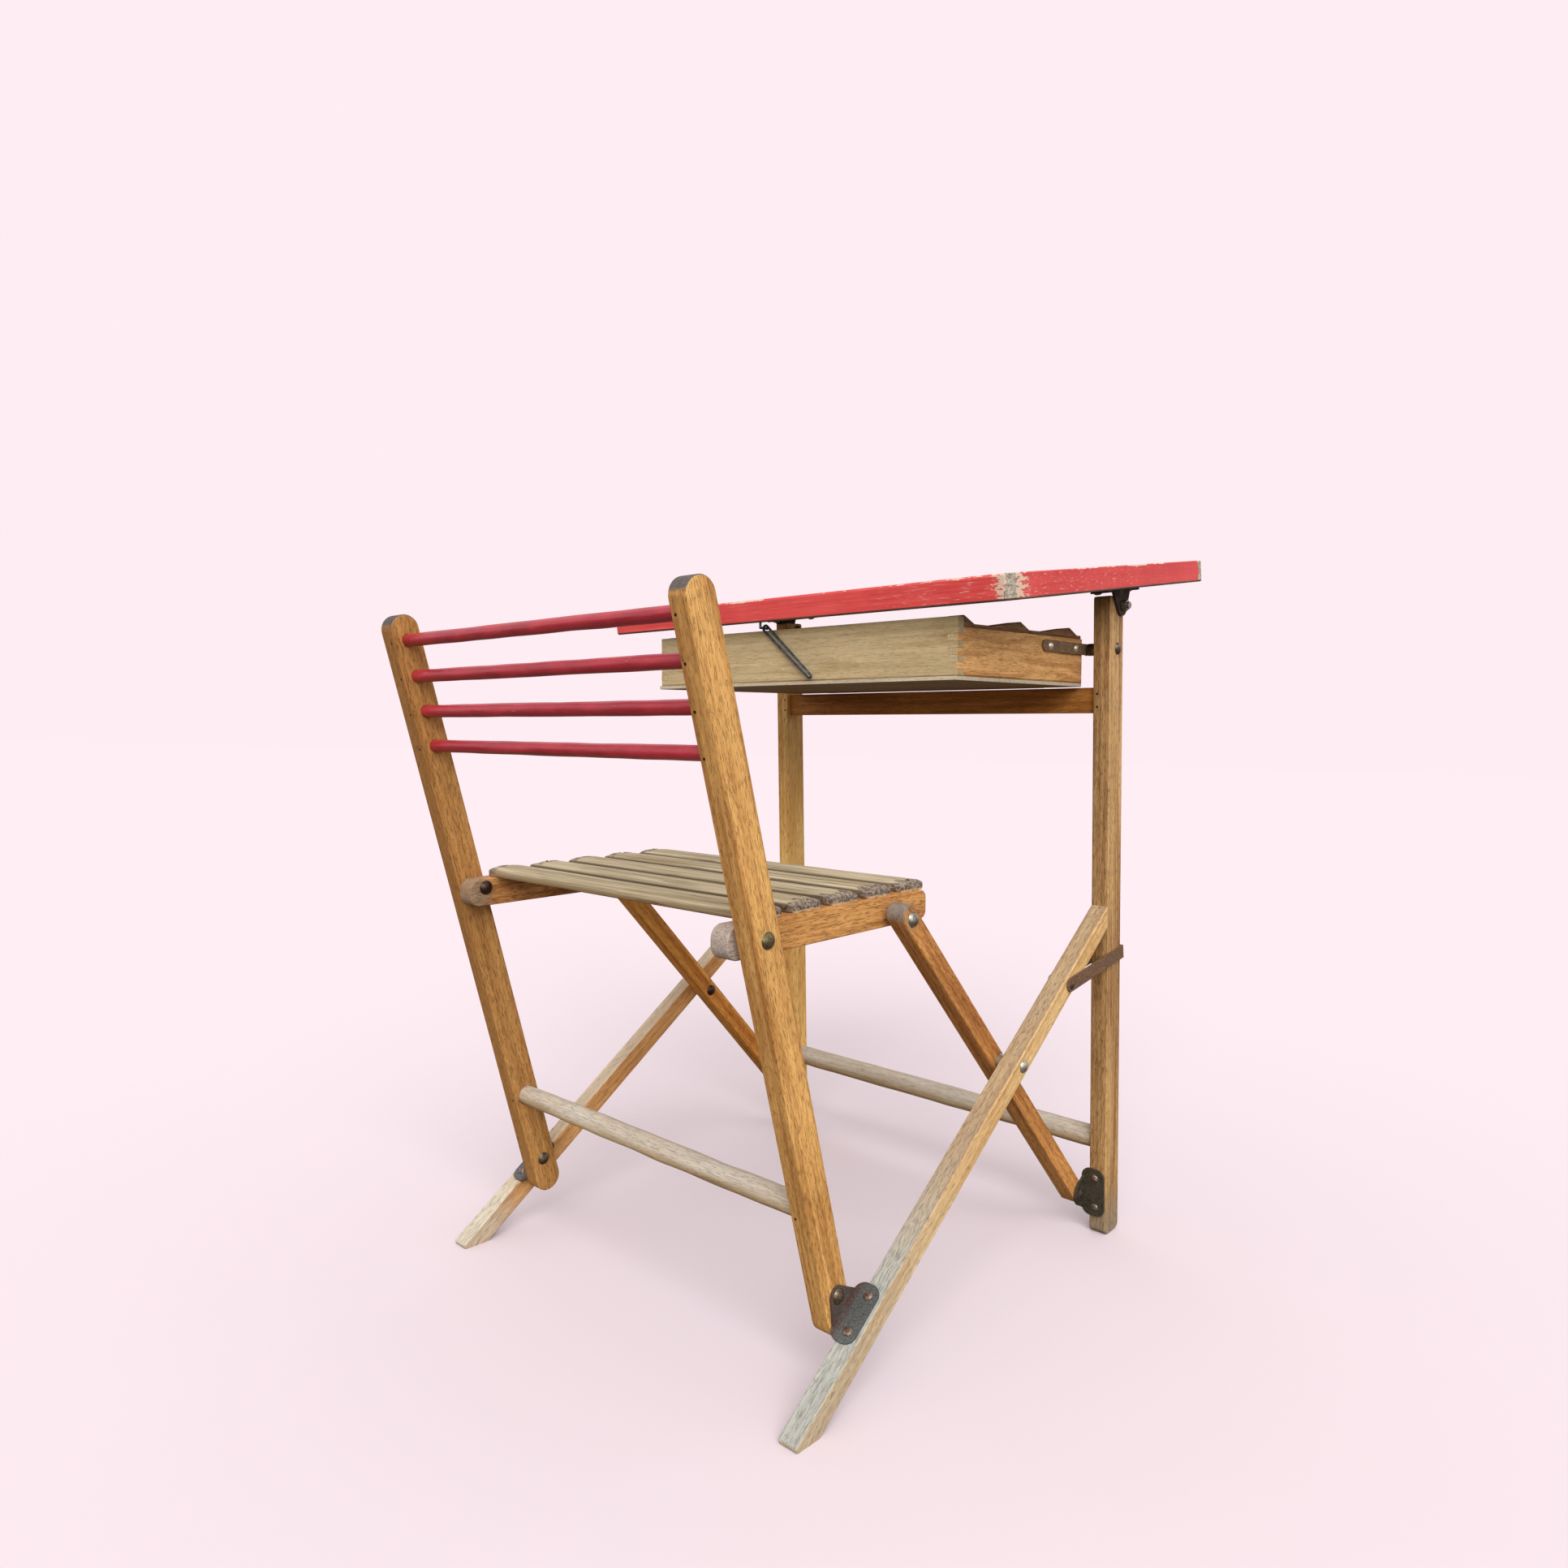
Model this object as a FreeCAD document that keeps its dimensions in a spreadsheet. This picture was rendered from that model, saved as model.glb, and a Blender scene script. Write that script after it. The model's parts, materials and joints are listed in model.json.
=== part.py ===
import FreeCAD, Part
import math
import os
import Sketcher

# Folding school desk: a slatted seat with a rung back, and a red-topped writing desk with a box under it.
# Millimetres, +Z up, the sitter faces +Y, +X is the sitter's right hand. The desk is drawn open.

Vector = FreeCAD.Vector
X_AXIS = Vector(1, 0, 0)
Y_AXIS = Vector(0, 1, 0)
Z_AXIS = Vector(0, 0, 1)
HALF_TURN = 180
QUARTER_TURN = 90
SIDES = (("left", -1), ("right", 1))

doc = FreeCAD.newDocument("folding_school_desk")
sheet = doc.addObject("Spreadsheet::Sheet", "sizes")

# Driving dimensions. Angles are in degrees, everything else in millimetres.
DRIVING_SIZES = (
    # Widths across the desk, from the outside in
    ("leg_spread", 400),
    ("leg_thick", 16),
    ("side_gap", 7),
    ("post_thick", 16),
    ("rail_gap", 5),
    ("rail_thick", 16),
    # Ground legs: the diagonals that stand on the floor behind the seat
    ("scissor_height", 189.5),
    ("ground_slope", 36.4),
    ("ground_width", 17),
    ("foot_reach", 326),
    ("foot_round", 3),
    # Front braces: the diagonals from the seat front to the foot of the desk legs
    ("brace_slope", 45.6),
    ("brace_width", 16.5),
    ("brace_upper", 178.5),
    ("brace_lower", 215),
    ("brace_head", 13),
    ("brace_tail", 10),
    # Chair back
    ("post_width", 24),
    ("post_head", 20.5),
    ("post_tail", 31),
    ("post_pivot_along", 234.5),
    ("post_pivot_rise", 23.6),
    ("post_to_seat", 261.5),
    ("rung_diameter", 10),
    ("top_rung_along", 467.5),
    ("rung_pitch", 28.6),
    ("rear_stretcher_diameter", 16.5),
    ("rear_stretcher_along", 64),
    # Seat
    ("seat_span", 153.5),
    ("rail_slope", 1.9),
    ("rail_drop", 3.8),
    ("rail_height", 22.5),
    ("rail_tail", 14.5),
    ("rail_nose", 13.8),
    ("slat_inset", 2),
    ("slat_width", 32),
    ("slat_thick", 8),
    ("slat_gap", 8.3),
    ("first_slat_along", 25),
    ("slat_round", 3),
    # Desk frame
    ("leg_depth", 26),
    ("leg_lean", 3.16),
    ("leg_offset", 6.5),
    ("leg_head", 8),
    ("leg_foot_round", 6),
    ("crossbar_height", 23),
    ("crossbar_thick", 16),
    ("crossbar_inset", 4.5),
    ("front_stretcher_diameter", 20),
    ("front_stretcher_up", 49),
    # Box under the tabletop
    ("box_pivot_up", 499),
    ("box_pivot_in", 14.6),
    ("box_tilt", 1.9),
    ("box_clear", 13.5),
    ("box_rear", 211.9),
    ("box_front", 9.5),
    ("box_drop", 30.5),
    ("box_side_rise", 7.1),
    ("box_side_taper", 0.55),
    ("box_rear_rise", 15.2),
    ("box_wall", 9),
    ("board_thick", 3.2),
    ("board_ledge", 5),
    ("board_lap", 5),
    ("board_side_ledge", 0.8),
    ("board_corner", 40),
    ("rack_thick", 14),
    ("rack_inset", 1),
    ("rack_valley", 3.3),
    ("tooth_rise", 6),
    ("rack_end", 6.9),
    ("tooth_ramp", 46),
    ("tooth_fall", 14),
    ("first_tooth_end", 12),
    ("strap_height", 10),
    ("strap_end", 12.8),
    ("strap_rivet_near", 23.7),
    ("strap_rivet_far", 69.7),
    # Tabletop and its hinge
    ("hinge_rise", 38),
    ("hinge_in", 19.2),
    ("top_slope", 9.76),
    ("top_overhang", 21),
    ("top_rear_overhang", 18.1),
    ("top_front", 135.5),
    ("top_thick", 20),
    ("top_clear", 14.5),
    ("top_round", 2),
    ("ear_end", 8),
    ("ear_screw_front", 34),
    ("ear_screw_rear", 26),
    ("ear_half_base", 17.5),
    ("ear_radius", 9),
    # Steel plate and fasteners
    ("plate_thick", 2),
    ("bracket_length", 44),
    ("bracket_screw_pitch", 27),
    ("flange_round", 8),
    ("lug_half_base", 16),
    ("post_lug_radius", 7),
    ("leg_lug_radius", 11),
    ("bail_pivot_along", 92.5),
    ("bail_rest", 9.7),
    ("bail_clear", 1),
    ("bail_width", 12),
    ("bail_thick", 1.6),
    ("rivet_diameter", 5),
    ("rivet_head", 11),
    ("rivet_dome", 3),
    ("bolt_diameter", 6),
    ("bolt_head", 11.5),
    ("bolt_dome", 3.5),
    ("screw_diameter", 3.4),
    ("screw_head", 7),
    ("screw_dome", 1.6),
    ("screw_length", 11),
    ("nail_diameter", 2),
    ("nail_length", 9),
    ("nut_across", 10),
    ("nut_thick", 4.5),
    # Wire stay under the tabletop
    ("wire_diameter", 2.2),
    ("stay_bend", 2.6),
    ("stay_length", 67.5),
    ("stay_pivot_side", 28),
    ("stay_pivot_drop", 4.6),
    ("stay_stand_off", 3.2),
    # Clearances and softened edges
    ("fit", 0.06),
    ("gap", 0.3),
    ("arris", 1.2),
)

for row, (alias, number) in enumerate(DRIVING_SIZES, start=1):
    sheet.set(f"A{row}", alias)
    sheet.set(f"B{row}", str(number))
    sheet.setAlias(f"B{row}", alias)
doc.recompute()

pieces = []


def size(alias):
    """A driving dimension as a plain number."""
    return float(sheet.get(alias))


def worth(amount):
    """The value of a number, or of an expression on the sheet."""
    if isinstance(amount, str):
        return float(sheet.evalExpression(amount))
    return float(amount)


def bind(owner, path, amount):
    """Set a property from a number, or tie it to an expression on the sheet."""
    if isinstance(amount, str):
        owner.setExpression(path, amount)
    else:
        setattr(owner, path, amount)


def turned(y, z, degrees):
    """A side-view vector turned counter-clockwise, seen from +X."""
    angle = math.radians(degrees)
    return (y * math.cos(angle) - z * math.sin(angle), y * math.sin(angle) + z * math.cos(angle))


def side_frame(x, y, z, direction):
    """Placement whose local Z runs at this side-view direction, measured from +Y towards +Z."""
    return FreeCAD.Placement(Vector(x, y, z), FreeCAD.Rotation(X_AXIS, direction - QUARTER_TURN))


def keep(piece, label):
    """Name a finished sub-part and list it for export."""
    piece.Label = label
    pieces.append(piece)
    return piece


# Building blocks shared by the sub-parts

def sketch_on(body, name):
    """An empty sketch on the body's own side-view plane."""
    sketch = body.newObject("Sketcher::SketchObject", name)
    plane = next(feature for feature in body.Origin.OriginFeatures if feature.Role == "YZ_Plane")
    sketch.AttachmentSupport = [(plane, "")]
    sketch.MapMode = "FlatFace"
    return sketch


def named_constraint(sketch, constraint, name, amount):
    """Add a dimension under a name and tie it to the sheet where it has an expression."""
    index = sketch.addConstraint(constraint)
    sketch.renameConstraint(index, name)
    if isinstance(amount, str):
        sketch.setExpression(f"Constraints.{name}", amount)


def draw_bar(sketch, width, below, above, lower_round, upper_round):
    """Rounded rectangle about the sketch's Y axis, from below its origin to above it."""
    half = worth(width) / 2
    low = -worth(below)
    high = worth(above)
    small = worth(lower_round)
    large = worth(upper_round)
    corners = (
        (half - large, high - large, large, 0),
        (-half + large, high - large, large, 1),
        (-half + small, low + small, small, 2),
        (half - small, low + small, small, 3),
    )
    sketch.addGeometry(Part.LineSegment(Vector(half, low + small), Vector(half, high - large)))
    sketch.addGeometry(Part.LineSegment(Vector(half - large, high), Vector(-half + large, high)))
    sketch.addGeometry(Part.LineSegment(Vector(-half, high - large), Vector(-half, low + small)))
    sketch.addGeometry(Part.LineSegment(Vector(-half + small, low), Vector(half - small, low)))
    for y, z, radius, quarter in corners:
        circle = Part.Circle(Vector(y, z), Z_AXIS, radius)
        start = quarter * math.pi / 2
        sketch.addGeometry(Part.ArcOfCircle(circle, start, start + math.pi / 2))
    for line in range(4):
        following = (line + 1) % 4
        arc = 4 + line
        sketch.addConstraint(Sketcher.Constraint("Tangent", line, 2, arc, 1))
        sketch.addConstraint(Sketcher.Constraint("Tangent", arc, 2, following, 1))
    for line in (0, 2):
        sketch.addConstraint(Sketcher.Constraint("Vertical", line))
    for line in (1, 3):
        sketch.addConstraint(Sketcher.Constraint("Horizontal", line))
    sketch.addConstraint(Sketcher.Constraint("Equal", 4, 5))
    sketch.addConstraint(Sketcher.Constraint("Equal", 6, 7))
    half_width = f"({width}) / 2" if isinstance(width, str) else half
    named_constraint(sketch, Sketcher.Constraint("Radius", 4, large), "upper_round", upper_round)
    named_constraint(sketch, Sketcher.Constraint("Radius", 6, small), "lower_round", lower_round)
    named_constraint(sketch, Sketcher.Constraint("DistanceX", -1, 1, 0, 1, half), "right", half_width)
    named_constraint(sketch, Sketcher.Constraint("DistanceX", 2, 1, -1, 1, half), "left", half_width)
    named_constraint(sketch, Sketcher.Constraint("DistanceY", -1, 1, 1, 1, high), "above", above)
    named_constraint(sketch, Sketcher.Constraint("DistanceY", 3, 1, -1, 1, -low), "below", below)


def bar(name, width, below, above, thickness, lower_round, upper_round, arris="sizes.arris"):
    """A bar along local Z with rounded ends, centred on its thickness, with softened edges."""
    body = doc.addObject("PartDesign::Body", name)
    outline = sketch_on(body, f"{name}_outline")
    draw_bar(outline, width, below, above, lower_round, upper_round)
    pad = body.newObject("PartDesign::Pad", f"{name}_pad")
    pad.Profile = outline
    pad.SideType = "Symmetric"
    bind(pad, "Length", thickness)
    doc.recompute()
    if arris:
        soft = body.newObject("PartDesign::Fillet", f"{name}_soft")
        soft.Base = (pad, ["Edge1"])
        soft.UseAllEdges = True
        bind(soft, "Radius", arris)
    return body


def lug(name, half_base, rise, radius):
    """A plate with a straight base below local Z's origin and a rounded tip about the origin."""
    body = doc.addObject("PartDesign::Body", name)
    sketch = sketch_on(body, f"{name}_outline")
    half = worth(half_base)
    drop = worth(rise)
    round_tip = worth(radius)
    lean_out = math.acos(round_tip / math.hypot(half, drop)) - math.atan2(drop, half)
    right = Vector(round_tip * math.cos(lean_out), round_tip * math.sin(lean_out))
    left = Vector(-right.x, right.y)
    circle = Part.Circle(Vector(), Z_AXIS, round_tip)
    sketch.addGeometry(Part.LineSegment(Vector(-half, -drop), Vector(half, -drop)))
    sketch.addGeometry(Part.LineSegment(Vector(half, -drop), right))
    sketch.addGeometry(Part.ArcOfCircle(circle, lean_out, math.pi - lean_out))
    sketch.addGeometry(Part.LineSegment(left, Vector(-half, -drop)))
    sketch.addConstraint(Sketcher.Constraint("Coincident", 0, 2, 1, 1))
    sketch.addConstraint(Sketcher.Constraint("Tangent", 1, 2, 2, 1))
    sketch.addConstraint(Sketcher.Constraint("Tangent", 2, 2, 3, 1))
    sketch.addConstraint(Sketcher.Constraint("Coincident", 3, 2, 0, 1))
    sketch.addConstraint(Sketcher.Constraint("Coincident", 2, 3, -1, 1))
    sketch.addConstraint(Sketcher.Constraint("Horizontal", 0))
    named_constraint(sketch, Sketcher.Constraint("Radius", 2, round_tip), "tip", radius)
    named_constraint(sketch, Sketcher.Constraint("DistanceX", -1, 1, 0, 2, half), "right", half_base)
    named_constraint(sketch, Sketcher.Constraint("DistanceX", 0, 1, -1, 1, half), "left", half_base)
    named_constraint(sketch, Sketcher.Constraint("DistanceY", 0, 1, -1, 1, drop), "rise", rise)
    pad = body.newObject("PartDesign::Pad", f"{name}_pad")
    pad.Profile = sketch
    pad.SideType = "Symmetric"
    pad.setExpression("Length", "sizes.plate_thick")
    return body


def flange(name, wide, length):
    """A flat plate with rounded corners, long along local Z, wide along local Y."""
    return bar(name, wide, f"({length}) / 2", f"({length}) / 2", "sizes.plate_thick", "sizes.flange_round",
               "sizes.flange_round", arris=None)


def face_frame(x, y, z, direction):
    """Placement for a plate on a face: local Z at this side-view direction, local Y across the desk."""
    angle = math.radians(direction)
    outward = Vector(0, -math.sin(angle), math.cos(angle))
    forward = Vector(0, math.cos(angle), math.sin(angle))
    return FreeCAD.Placement(Vector(x, y, z), FreeCAD.Rotation(outward, X_AXIS, forward))


def block(name, across, deep, tall):
    """A plain box with its corner at the local origin."""
    box = doc.addObject("Part::Box", name)
    bind(box, "Length", across)
    bind(box, "Width", deep)
    bind(box, "Height", tall)
    return box


def rod(name, radius, length):
    """A round bar from the local origin along local Z."""
    cylinder = doc.addObject("Part::Cylinder", name)
    bind(cylinder, "Radius", radius)
    bind(cylinder, "Height", length)
    return cylinder


def cross_rod(name, radius, x_from, x_to, y, z):
    """A round bar that runs across the desk."""
    cylinder = rod(name, radius, x_to - x_from)
    cylinder.Placement = FreeCAD.Placement(Vector(x_from, y, z), FreeCAD.Rotation(Y_AXIS, QUARTER_TURN))
    return cylinder


def joined(name, members):
    """Several shapes made one solid."""
    fuse = doc.addObject("Part::MultiFuse", name)
    fuse.Shapes = members
    return fuse


def grouped(name, members):
    """Several separate solids held as one object."""
    group = doc.addObject("Part::Compound", name)
    group.Links = members
    return group


def without(name, base, tools):
    """A piece with holes and trimmings taken out of it."""
    cut = doc.addObject("Part::Cut", name)
    cut.Base = base
    cut.Tool = grouped(f"{name}_cuts", tools)
    return cut


def domed_pin(name, diameter, length, head, dome, far_head=False):
    """A pin along -X from the local origin, with a domed head beyond the origin and maybe one at its end."""
    shank = rod(f"{name}_shank", f"{diameter} / 2", length)
    shank.Placement = FreeCAD.Placement(Vector(), FreeCAD.Rotation(Y_AXIS, -QUARTER_TURN))
    solids = [shank]
    head_radius = worth(head) / 2
    rise = worth(dome)
    sphere_radius = (head_radius ** 2 + rise ** 2) / (2 * rise)
    ends = [(0, QUARTER_TURN)]
    if far_head:
        ends.append((-worth(length), -QUARTER_TURN))
    for index, (place, turn) in enumerate(ends):
        cap = doc.addObject("Part::Sphere", f"{name}_head_{index}")
        bind(cap, "Radius", f"(({head}) ^ 2 / 4 + ({dome}) ^ 2) / (2 * ({dome}))")
        cap.Angle1 = math.degrees(math.asin((sphere_radius - rise) / sphere_radius))
        sink = math.copysign(sphere_radius - rise, turn)
        cap.Placement = FreeCAD.Placement(Vector(place - sink, 0, 0), FreeCAD.Rotation(Y_AXIS, turn))
        solids.append(cap)
    return joined(name, solids)


def across(pin, sign, x, y, z):
    """Place a pin that was made along -X on one side of the desk, head outwards."""
    turn = 0 if sign > 0 else HALF_TURN
    pin.Placement = FreeCAD.Placement(Vector(sign * x, y, z), FreeCAD.Rotation(Z_AXIS, turn))
    return pin


RIVET = ("sizes.rivet_diameter", "sizes.rivet_head", "sizes.rivet_dome")
BOLT = ("sizes.bolt_diameter", "sizes.bolt_head", "sizes.bolt_dome")
SCREW = ("sizes.screw_diameter", "sizes.screw_head", "sizes.screw_dome")
SMALL_HEAD = "sizes.rivet_head * 0.75"
SMALL_DOME = "sizes.rivet_dome * 0.6"
FULL_END = 0.49

# Sizes that follow from the driving ones
SLAT_COUNT = 5
SIDE_LAYERS = "sizes.leg_thick + sizes.side_gap + sizes.post_thick + sizes.rail_gap"
SLAT_LENGTH = f"sizes.leg_spread - 2 * ({SIDE_LAYERS} + sizes.slat_inset)"
SLAT_PITCH = "sizes.slat_width + sizes.slat_gap"
RAIL_REACH = f"sizes.first_slat_along + {SLAT_COUNT - 1} * ({SLAT_PITCH}) + sizes.rail_nose"
POST_REACH = "sizes.top_rung_along + sizes.post_head"
HINGE_UP = "sizes.box_pivot_up + sizes.hinge_rise"
LEG_ABOVE = f"{HINGE_UP} + sizes.leg_head"
BOX_WIDTH = "sizes.leg_spread - 2 * (sizes.leg_thick + sizes.box_clear)"
TOP_WIDTH = "sizes.leg_spread + 2 * sizes.top_overhang"
TOP_REAR = "sizes.box_rear + sizes.top_rear_overhang"
EAR_LENGTH = "sizes.ear_screw_front + sizes.ear_screw_rear + 2 * sizes.ear_end"
fit = size("fit")
gap = size("gap")
hole = {}
for fastener in ("rivet", "bolt", "screw", "nail"):
    hole[fastener] = f"sizes.{fastener}_diameter / 2 + sizes.fit"

# Planes across the desk: the two faces of each layer of bars on the right-hand side
leg_out = size("leg_spread") / 2
leg_in = leg_out - size("leg_thick")
leg_mid = (leg_out + leg_in) / 2
post_out = leg_in - size("side_gap")
post_in = post_out - size("post_thick")
post_mid = (post_out + post_in) / 2
rail_out = post_in - size("rail_gap")
rail_in = rail_out - size("rail_thick")
rail_mid = (rail_out + rail_in) / 2
box_out = worth(BOX_WIDTH) / 2
box_in = box_out - size("box_wall")
lug_in = post_out + gap
lug_out = lug_in + size("plate_thick")

# Pivots in side view, with the scissor pivot above the layout origin
ground_slope = size("ground_slope")
scissor = (0, size("scissor_height"))


def from_scissor(along, rise):
    """A side-view point given along a ground leg from the scissor pivot and square to it."""
    y, z = turned(along, rise, ground_slope)
    return (scissor[0] + y, scissor[1] + z)


back_pivot = from_scissor(-size("post_pivot_along"), size("post_pivot_rise"))
bail_pivot = from_scissor(size("bail_pivot_along"), 0)
brace_direction = HALF_TURN - size("brace_slope")
reach_up = turned(size("brace_upper"), 0, brace_direction)
reach_down = turned(-size("brace_lower"), 0, brace_direction)
seat_front = (scissor[0] + reach_up[0], scissor[1] + reach_up[1])
leg_pivot = (scissor[0] + reach_down[0], scissor[1] + reach_down[1])

# The seat's rear pivot closes the triangle of the post, the seat and the line between their far ends
line_y = seat_front[0] - back_pivot[0]
line_z = seat_front[1] - back_pivot[1]
line_length = math.hypot(line_y, line_z)
foot_along = (size("post_to_seat") ** 2 - size("seat_span") ** 2 + line_length ** 2) / (2 * line_length)
foot_off = math.sqrt(size("post_to_seat") ** 2 - foot_along ** 2)
seat_rear = (back_pivot[0] + (foot_along * line_y - foot_off * line_z) / line_length,
             back_pivot[1] + (foot_along * line_z + foot_off * line_y) / line_length)
post_direction = math.degrees(math.atan2(seat_rear[1] - back_pivot[1], seat_rear[0] - back_pivot[0]))

leg_direction = QUARTER_TURN + size("leg_lean")
box_direction = size("box_tilt")
top_direction = size("top_slope")


def on_leg(forward, up):
    """A side-view point on the desk leg: forward of the lug pivot, and up along the leg."""
    y, z = turned(forward, up, size("leg_lean"))
    return (leg_pivot[0] + y, leg_pivot[1] + z)


def on_post(back, along):
    """A side-view point on the back post: behind its centre line, and along it from its pivot."""
    y, z = turned(along, back, post_direction)
    return (back_pivot[0] + y, back_pivot[1] + z)


def on_rail(along, rise):
    """A side-view point on the seat rail: along it from the rear pivot, and above its centre line."""
    y, z = turned(along, rise - size("rail_drop"), size("rail_slope"))
    return (seat_rear[0] + y, seat_rear[1] + z)


leg_rear_face = size("leg_offset")
box_pivot = on_leg(leg_rear_face + size("box_pivot_in"), size("box_pivot_up"))
top_hinge = on_leg(leg_rear_face + size("hinge_in"), worth(HINGE_UP))


def on_box(along, rise):
    """A side-view point on the box, given from its strap pivot."""
    y, z = turned(along, rise, box_direction)
    return (box_pivot[0] + y, box_pivot[1] + z)


def on_top(along, rise):
    """A side-view point on the tabletop, given from its hinge."""
    y, z = turned(along, rise, top_direction)
    return (top_hinge[0] + y, top_hinge[1] + z)


# Ground legs: the foot is cut flat to stand on the floor, the upper end to lie on the desk leg's rear face
half_ground = size("ground_width") / 2
slope = math.radians(ground_slope)
bracket_half = size("bracket_screw_pitch") / 2
screw_along = (-size("post_pivot_along") - bracket_half, -size("post_pivot_along") + bracket_half)
spare = 40
meet_along = (on_leg(leg_rear_face, 0)[0] - scissor[0]) / math.cos(slope)
screw_x = leg_mid - size("plate_thick")
for side, sign in SIDES:
    name = f"{side}_ground_leg"
    stock = bar(f"{name}_stock", "sizes.ground_width", "sizes.foot_reach", meet_along + spare,
                "sizes.leg_thick", "sizes.foot_round", "sizes.arris * 2")
    stock.Placement = side_frame(sign * leg_mid, *scissor, ground_slope)
    trim = block(f"{name}_trim", "sizes.leg_thick * 2", meet_along, LEG_ABOVE)
    trim_y, trim_z = on_leg(leg_rear_face - gap, 0)
    trim.Placement = side_frame(sign * leg_mid - size("leg_thick"), trim_y, trim_z, leg_direction)
    floor = block(f"{name}_floor", "sizes.leg_thick * 2", "sizes.foot_reach", "sizes.foot_reach")
    deep = size("foot_reach")
    floor.Placement.Base = Vector(sign * leg_mid - size("leg_thick"), -deep, -deep)
    tools = [trim, floor]
    tools.append(cross_rod(f"{name}_scissor_hole", hole["rivet"], sign * leg_mid - spare,
                           sign * leg_mid + spare, *scissor))
    tools.append(cross_rod(f"{name}_bail_hole", hole["rivet"], sign * leg_mid - spare,
                           sign * leg_mid + spare, *bail_pivot))
    for index, along in enumerate(screw_along):
        pilot = rod(f"{name}_pilot_{index}", hole["screw"], "sizes.screw_length")
        y, z = from_scissor(along, half_ground + size("plate_thick"))
        pilot.Placement = side_frame(sign * screw_x, y, z, ground_slope - QUARTER_TURN)
        tools.append(pilot)
    keep(without(name, stock, tools), name)

# Post brackets: a flange screwed on the ground leg and a lug that carries the post's pivot rivet
half_plate = size("plate_thick") / 2
flange_wide = size("leg_thick") + size("plate_thick") * 2
post_screws = []
for side, sign in SIDES:
    name = f"{side}_post_bracket"
    base = flange(f"{name}_flange", flange_wide, "sizes.bracket_length")
    seat_of_base = from_scissor(-size("post_pivot_along"), half_ground + half_plate)
    base.Placement = face_frame(sign * (lug_in + flange_wide / 2), *seat_of_base, ground_slope)
    tab = lug(f"{name}_lug", "sizes.lug_half_base", "sizes.post_pivot_rise - sizes.ground_width / 2",
              "sizes.post_lug_radius")
    tab.Placement = side_frame(sign * (lug_in + lug_out) / 2, *back_pivot, ground_slope + QUARTER_TURN)
    tools = [cross_rod(f"{name}_pin_hole", hole["rivet"], sign * lug_in - spare, sign * lug_in + spare,
                       *back_pivot)]
    for index, along in enumerate(screw_along):
        y, z = from_scissor(along, half_ground + size("plate_thick"))
        tip = rod(f"{name}_screw_hole_{index}", hole["screw"], "sizes.screw_length")
        tip.Placement = side_frame(sign * screw_x, y, z, ground_slope - QUARTER_TURN)
        tools.append(tip)
        screw = domed_pin(f"{name}_screw_{index}", SCREW[0], "sizes.screw_length", *SCREW[1:])
        screw.Placement = FreeCAD.Placement(
            Vector(sign * screw_x, y, z),
            FreeCAD.Rotation(X_AXIS, ground_slope).multiply(FreeCAD.Rotation(Y_AXIS, -QUARTER_TURN)))
        post_screws.append(screw)
    keep(without(name, joined(f"{name}_plate", [base, tab]), tools), name)
keep(grouped("post_bracket_screw_group", post_screws), "post_bracket_screws")

rivets = []
for side, sign in SIDES:
    reach = lug_out - post_in + gap
    rivet = domed_pin(f"{side}_post_rivet", RIVET[0], reach, *RIVET[1:], far_head=True)
    rivets.append(across(rivet, sign, lug_out, *back_pivot))
keep(grouped("post_pivot_rivet_group", rivets), "post_pivot_rivets")

# Front braces, with the scissor rivets that join them to the ground legs
for side, sign in SIDES:
    name = f"{side}_front_brace"
    stock = bar(f"{name}_stock", "sizes.brace_width", "sizes.brace_lower + sizes.brace_tail",
                "sizes.brace_upper + sizes.brace_head", "sizes.post_thick",
                f"sizes.brace_width * {FULL_END}", f"sizes.brace_width * {FULL_END}")
    stock.Placement = side_frame(sign * post_mid, *scissor, brace_direction)
    tools = []
    for place, point, kind in (("scissor", scissor, "rivet"), ("seat", seat_front, "bolt"),
                               ("leg", leg_pivot, "rivet")):
        tools.append(cross_rod(f"{name}_{place}_hole", hole[kind], sign * post_mid - spare,
                               sign * post_mid + spare, *point))
    keep(without(name, stock, tools), name)

rivets = []
washers = []
stubs = []
for side, sign in SIDES:
    reach = leg_out + gap - post_in
    rivet = domed_pin(f"{side}_scissor_rivet", RIVET[0], reach, *RIVET[1:], far_head=True)
    rivets.append(across(rivet, sign, leg_out + gap, *scissor))
    near, far = sorted((sign * post_out, sign * (leg_in - gap)))
    ring = cross_rod(f"{side}_scissor_ring", "sizes.rivet_head / 2", near, far, *scissor)
    bore = cross_rod(f"{side}_scissor_bore", hole["rivet"], near - spare, far + spare, *scissor)
    washers.append(without(f"{side}_scissor_washer", ring, [bore]))
    stub = domed_pin(f"{side}_seat_front_stub", BOLT[0], "sizes.post_thick", *BOLT[1:])
    stubs.append(across(stub, sign, post_out, *seat_front))
keep(grouped("scissor_rivet_group", rivets + washers), "scissor_rivets")
keep(grouped("seat_front_bolt_group", stubs), "seat_front_bolts")

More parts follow.
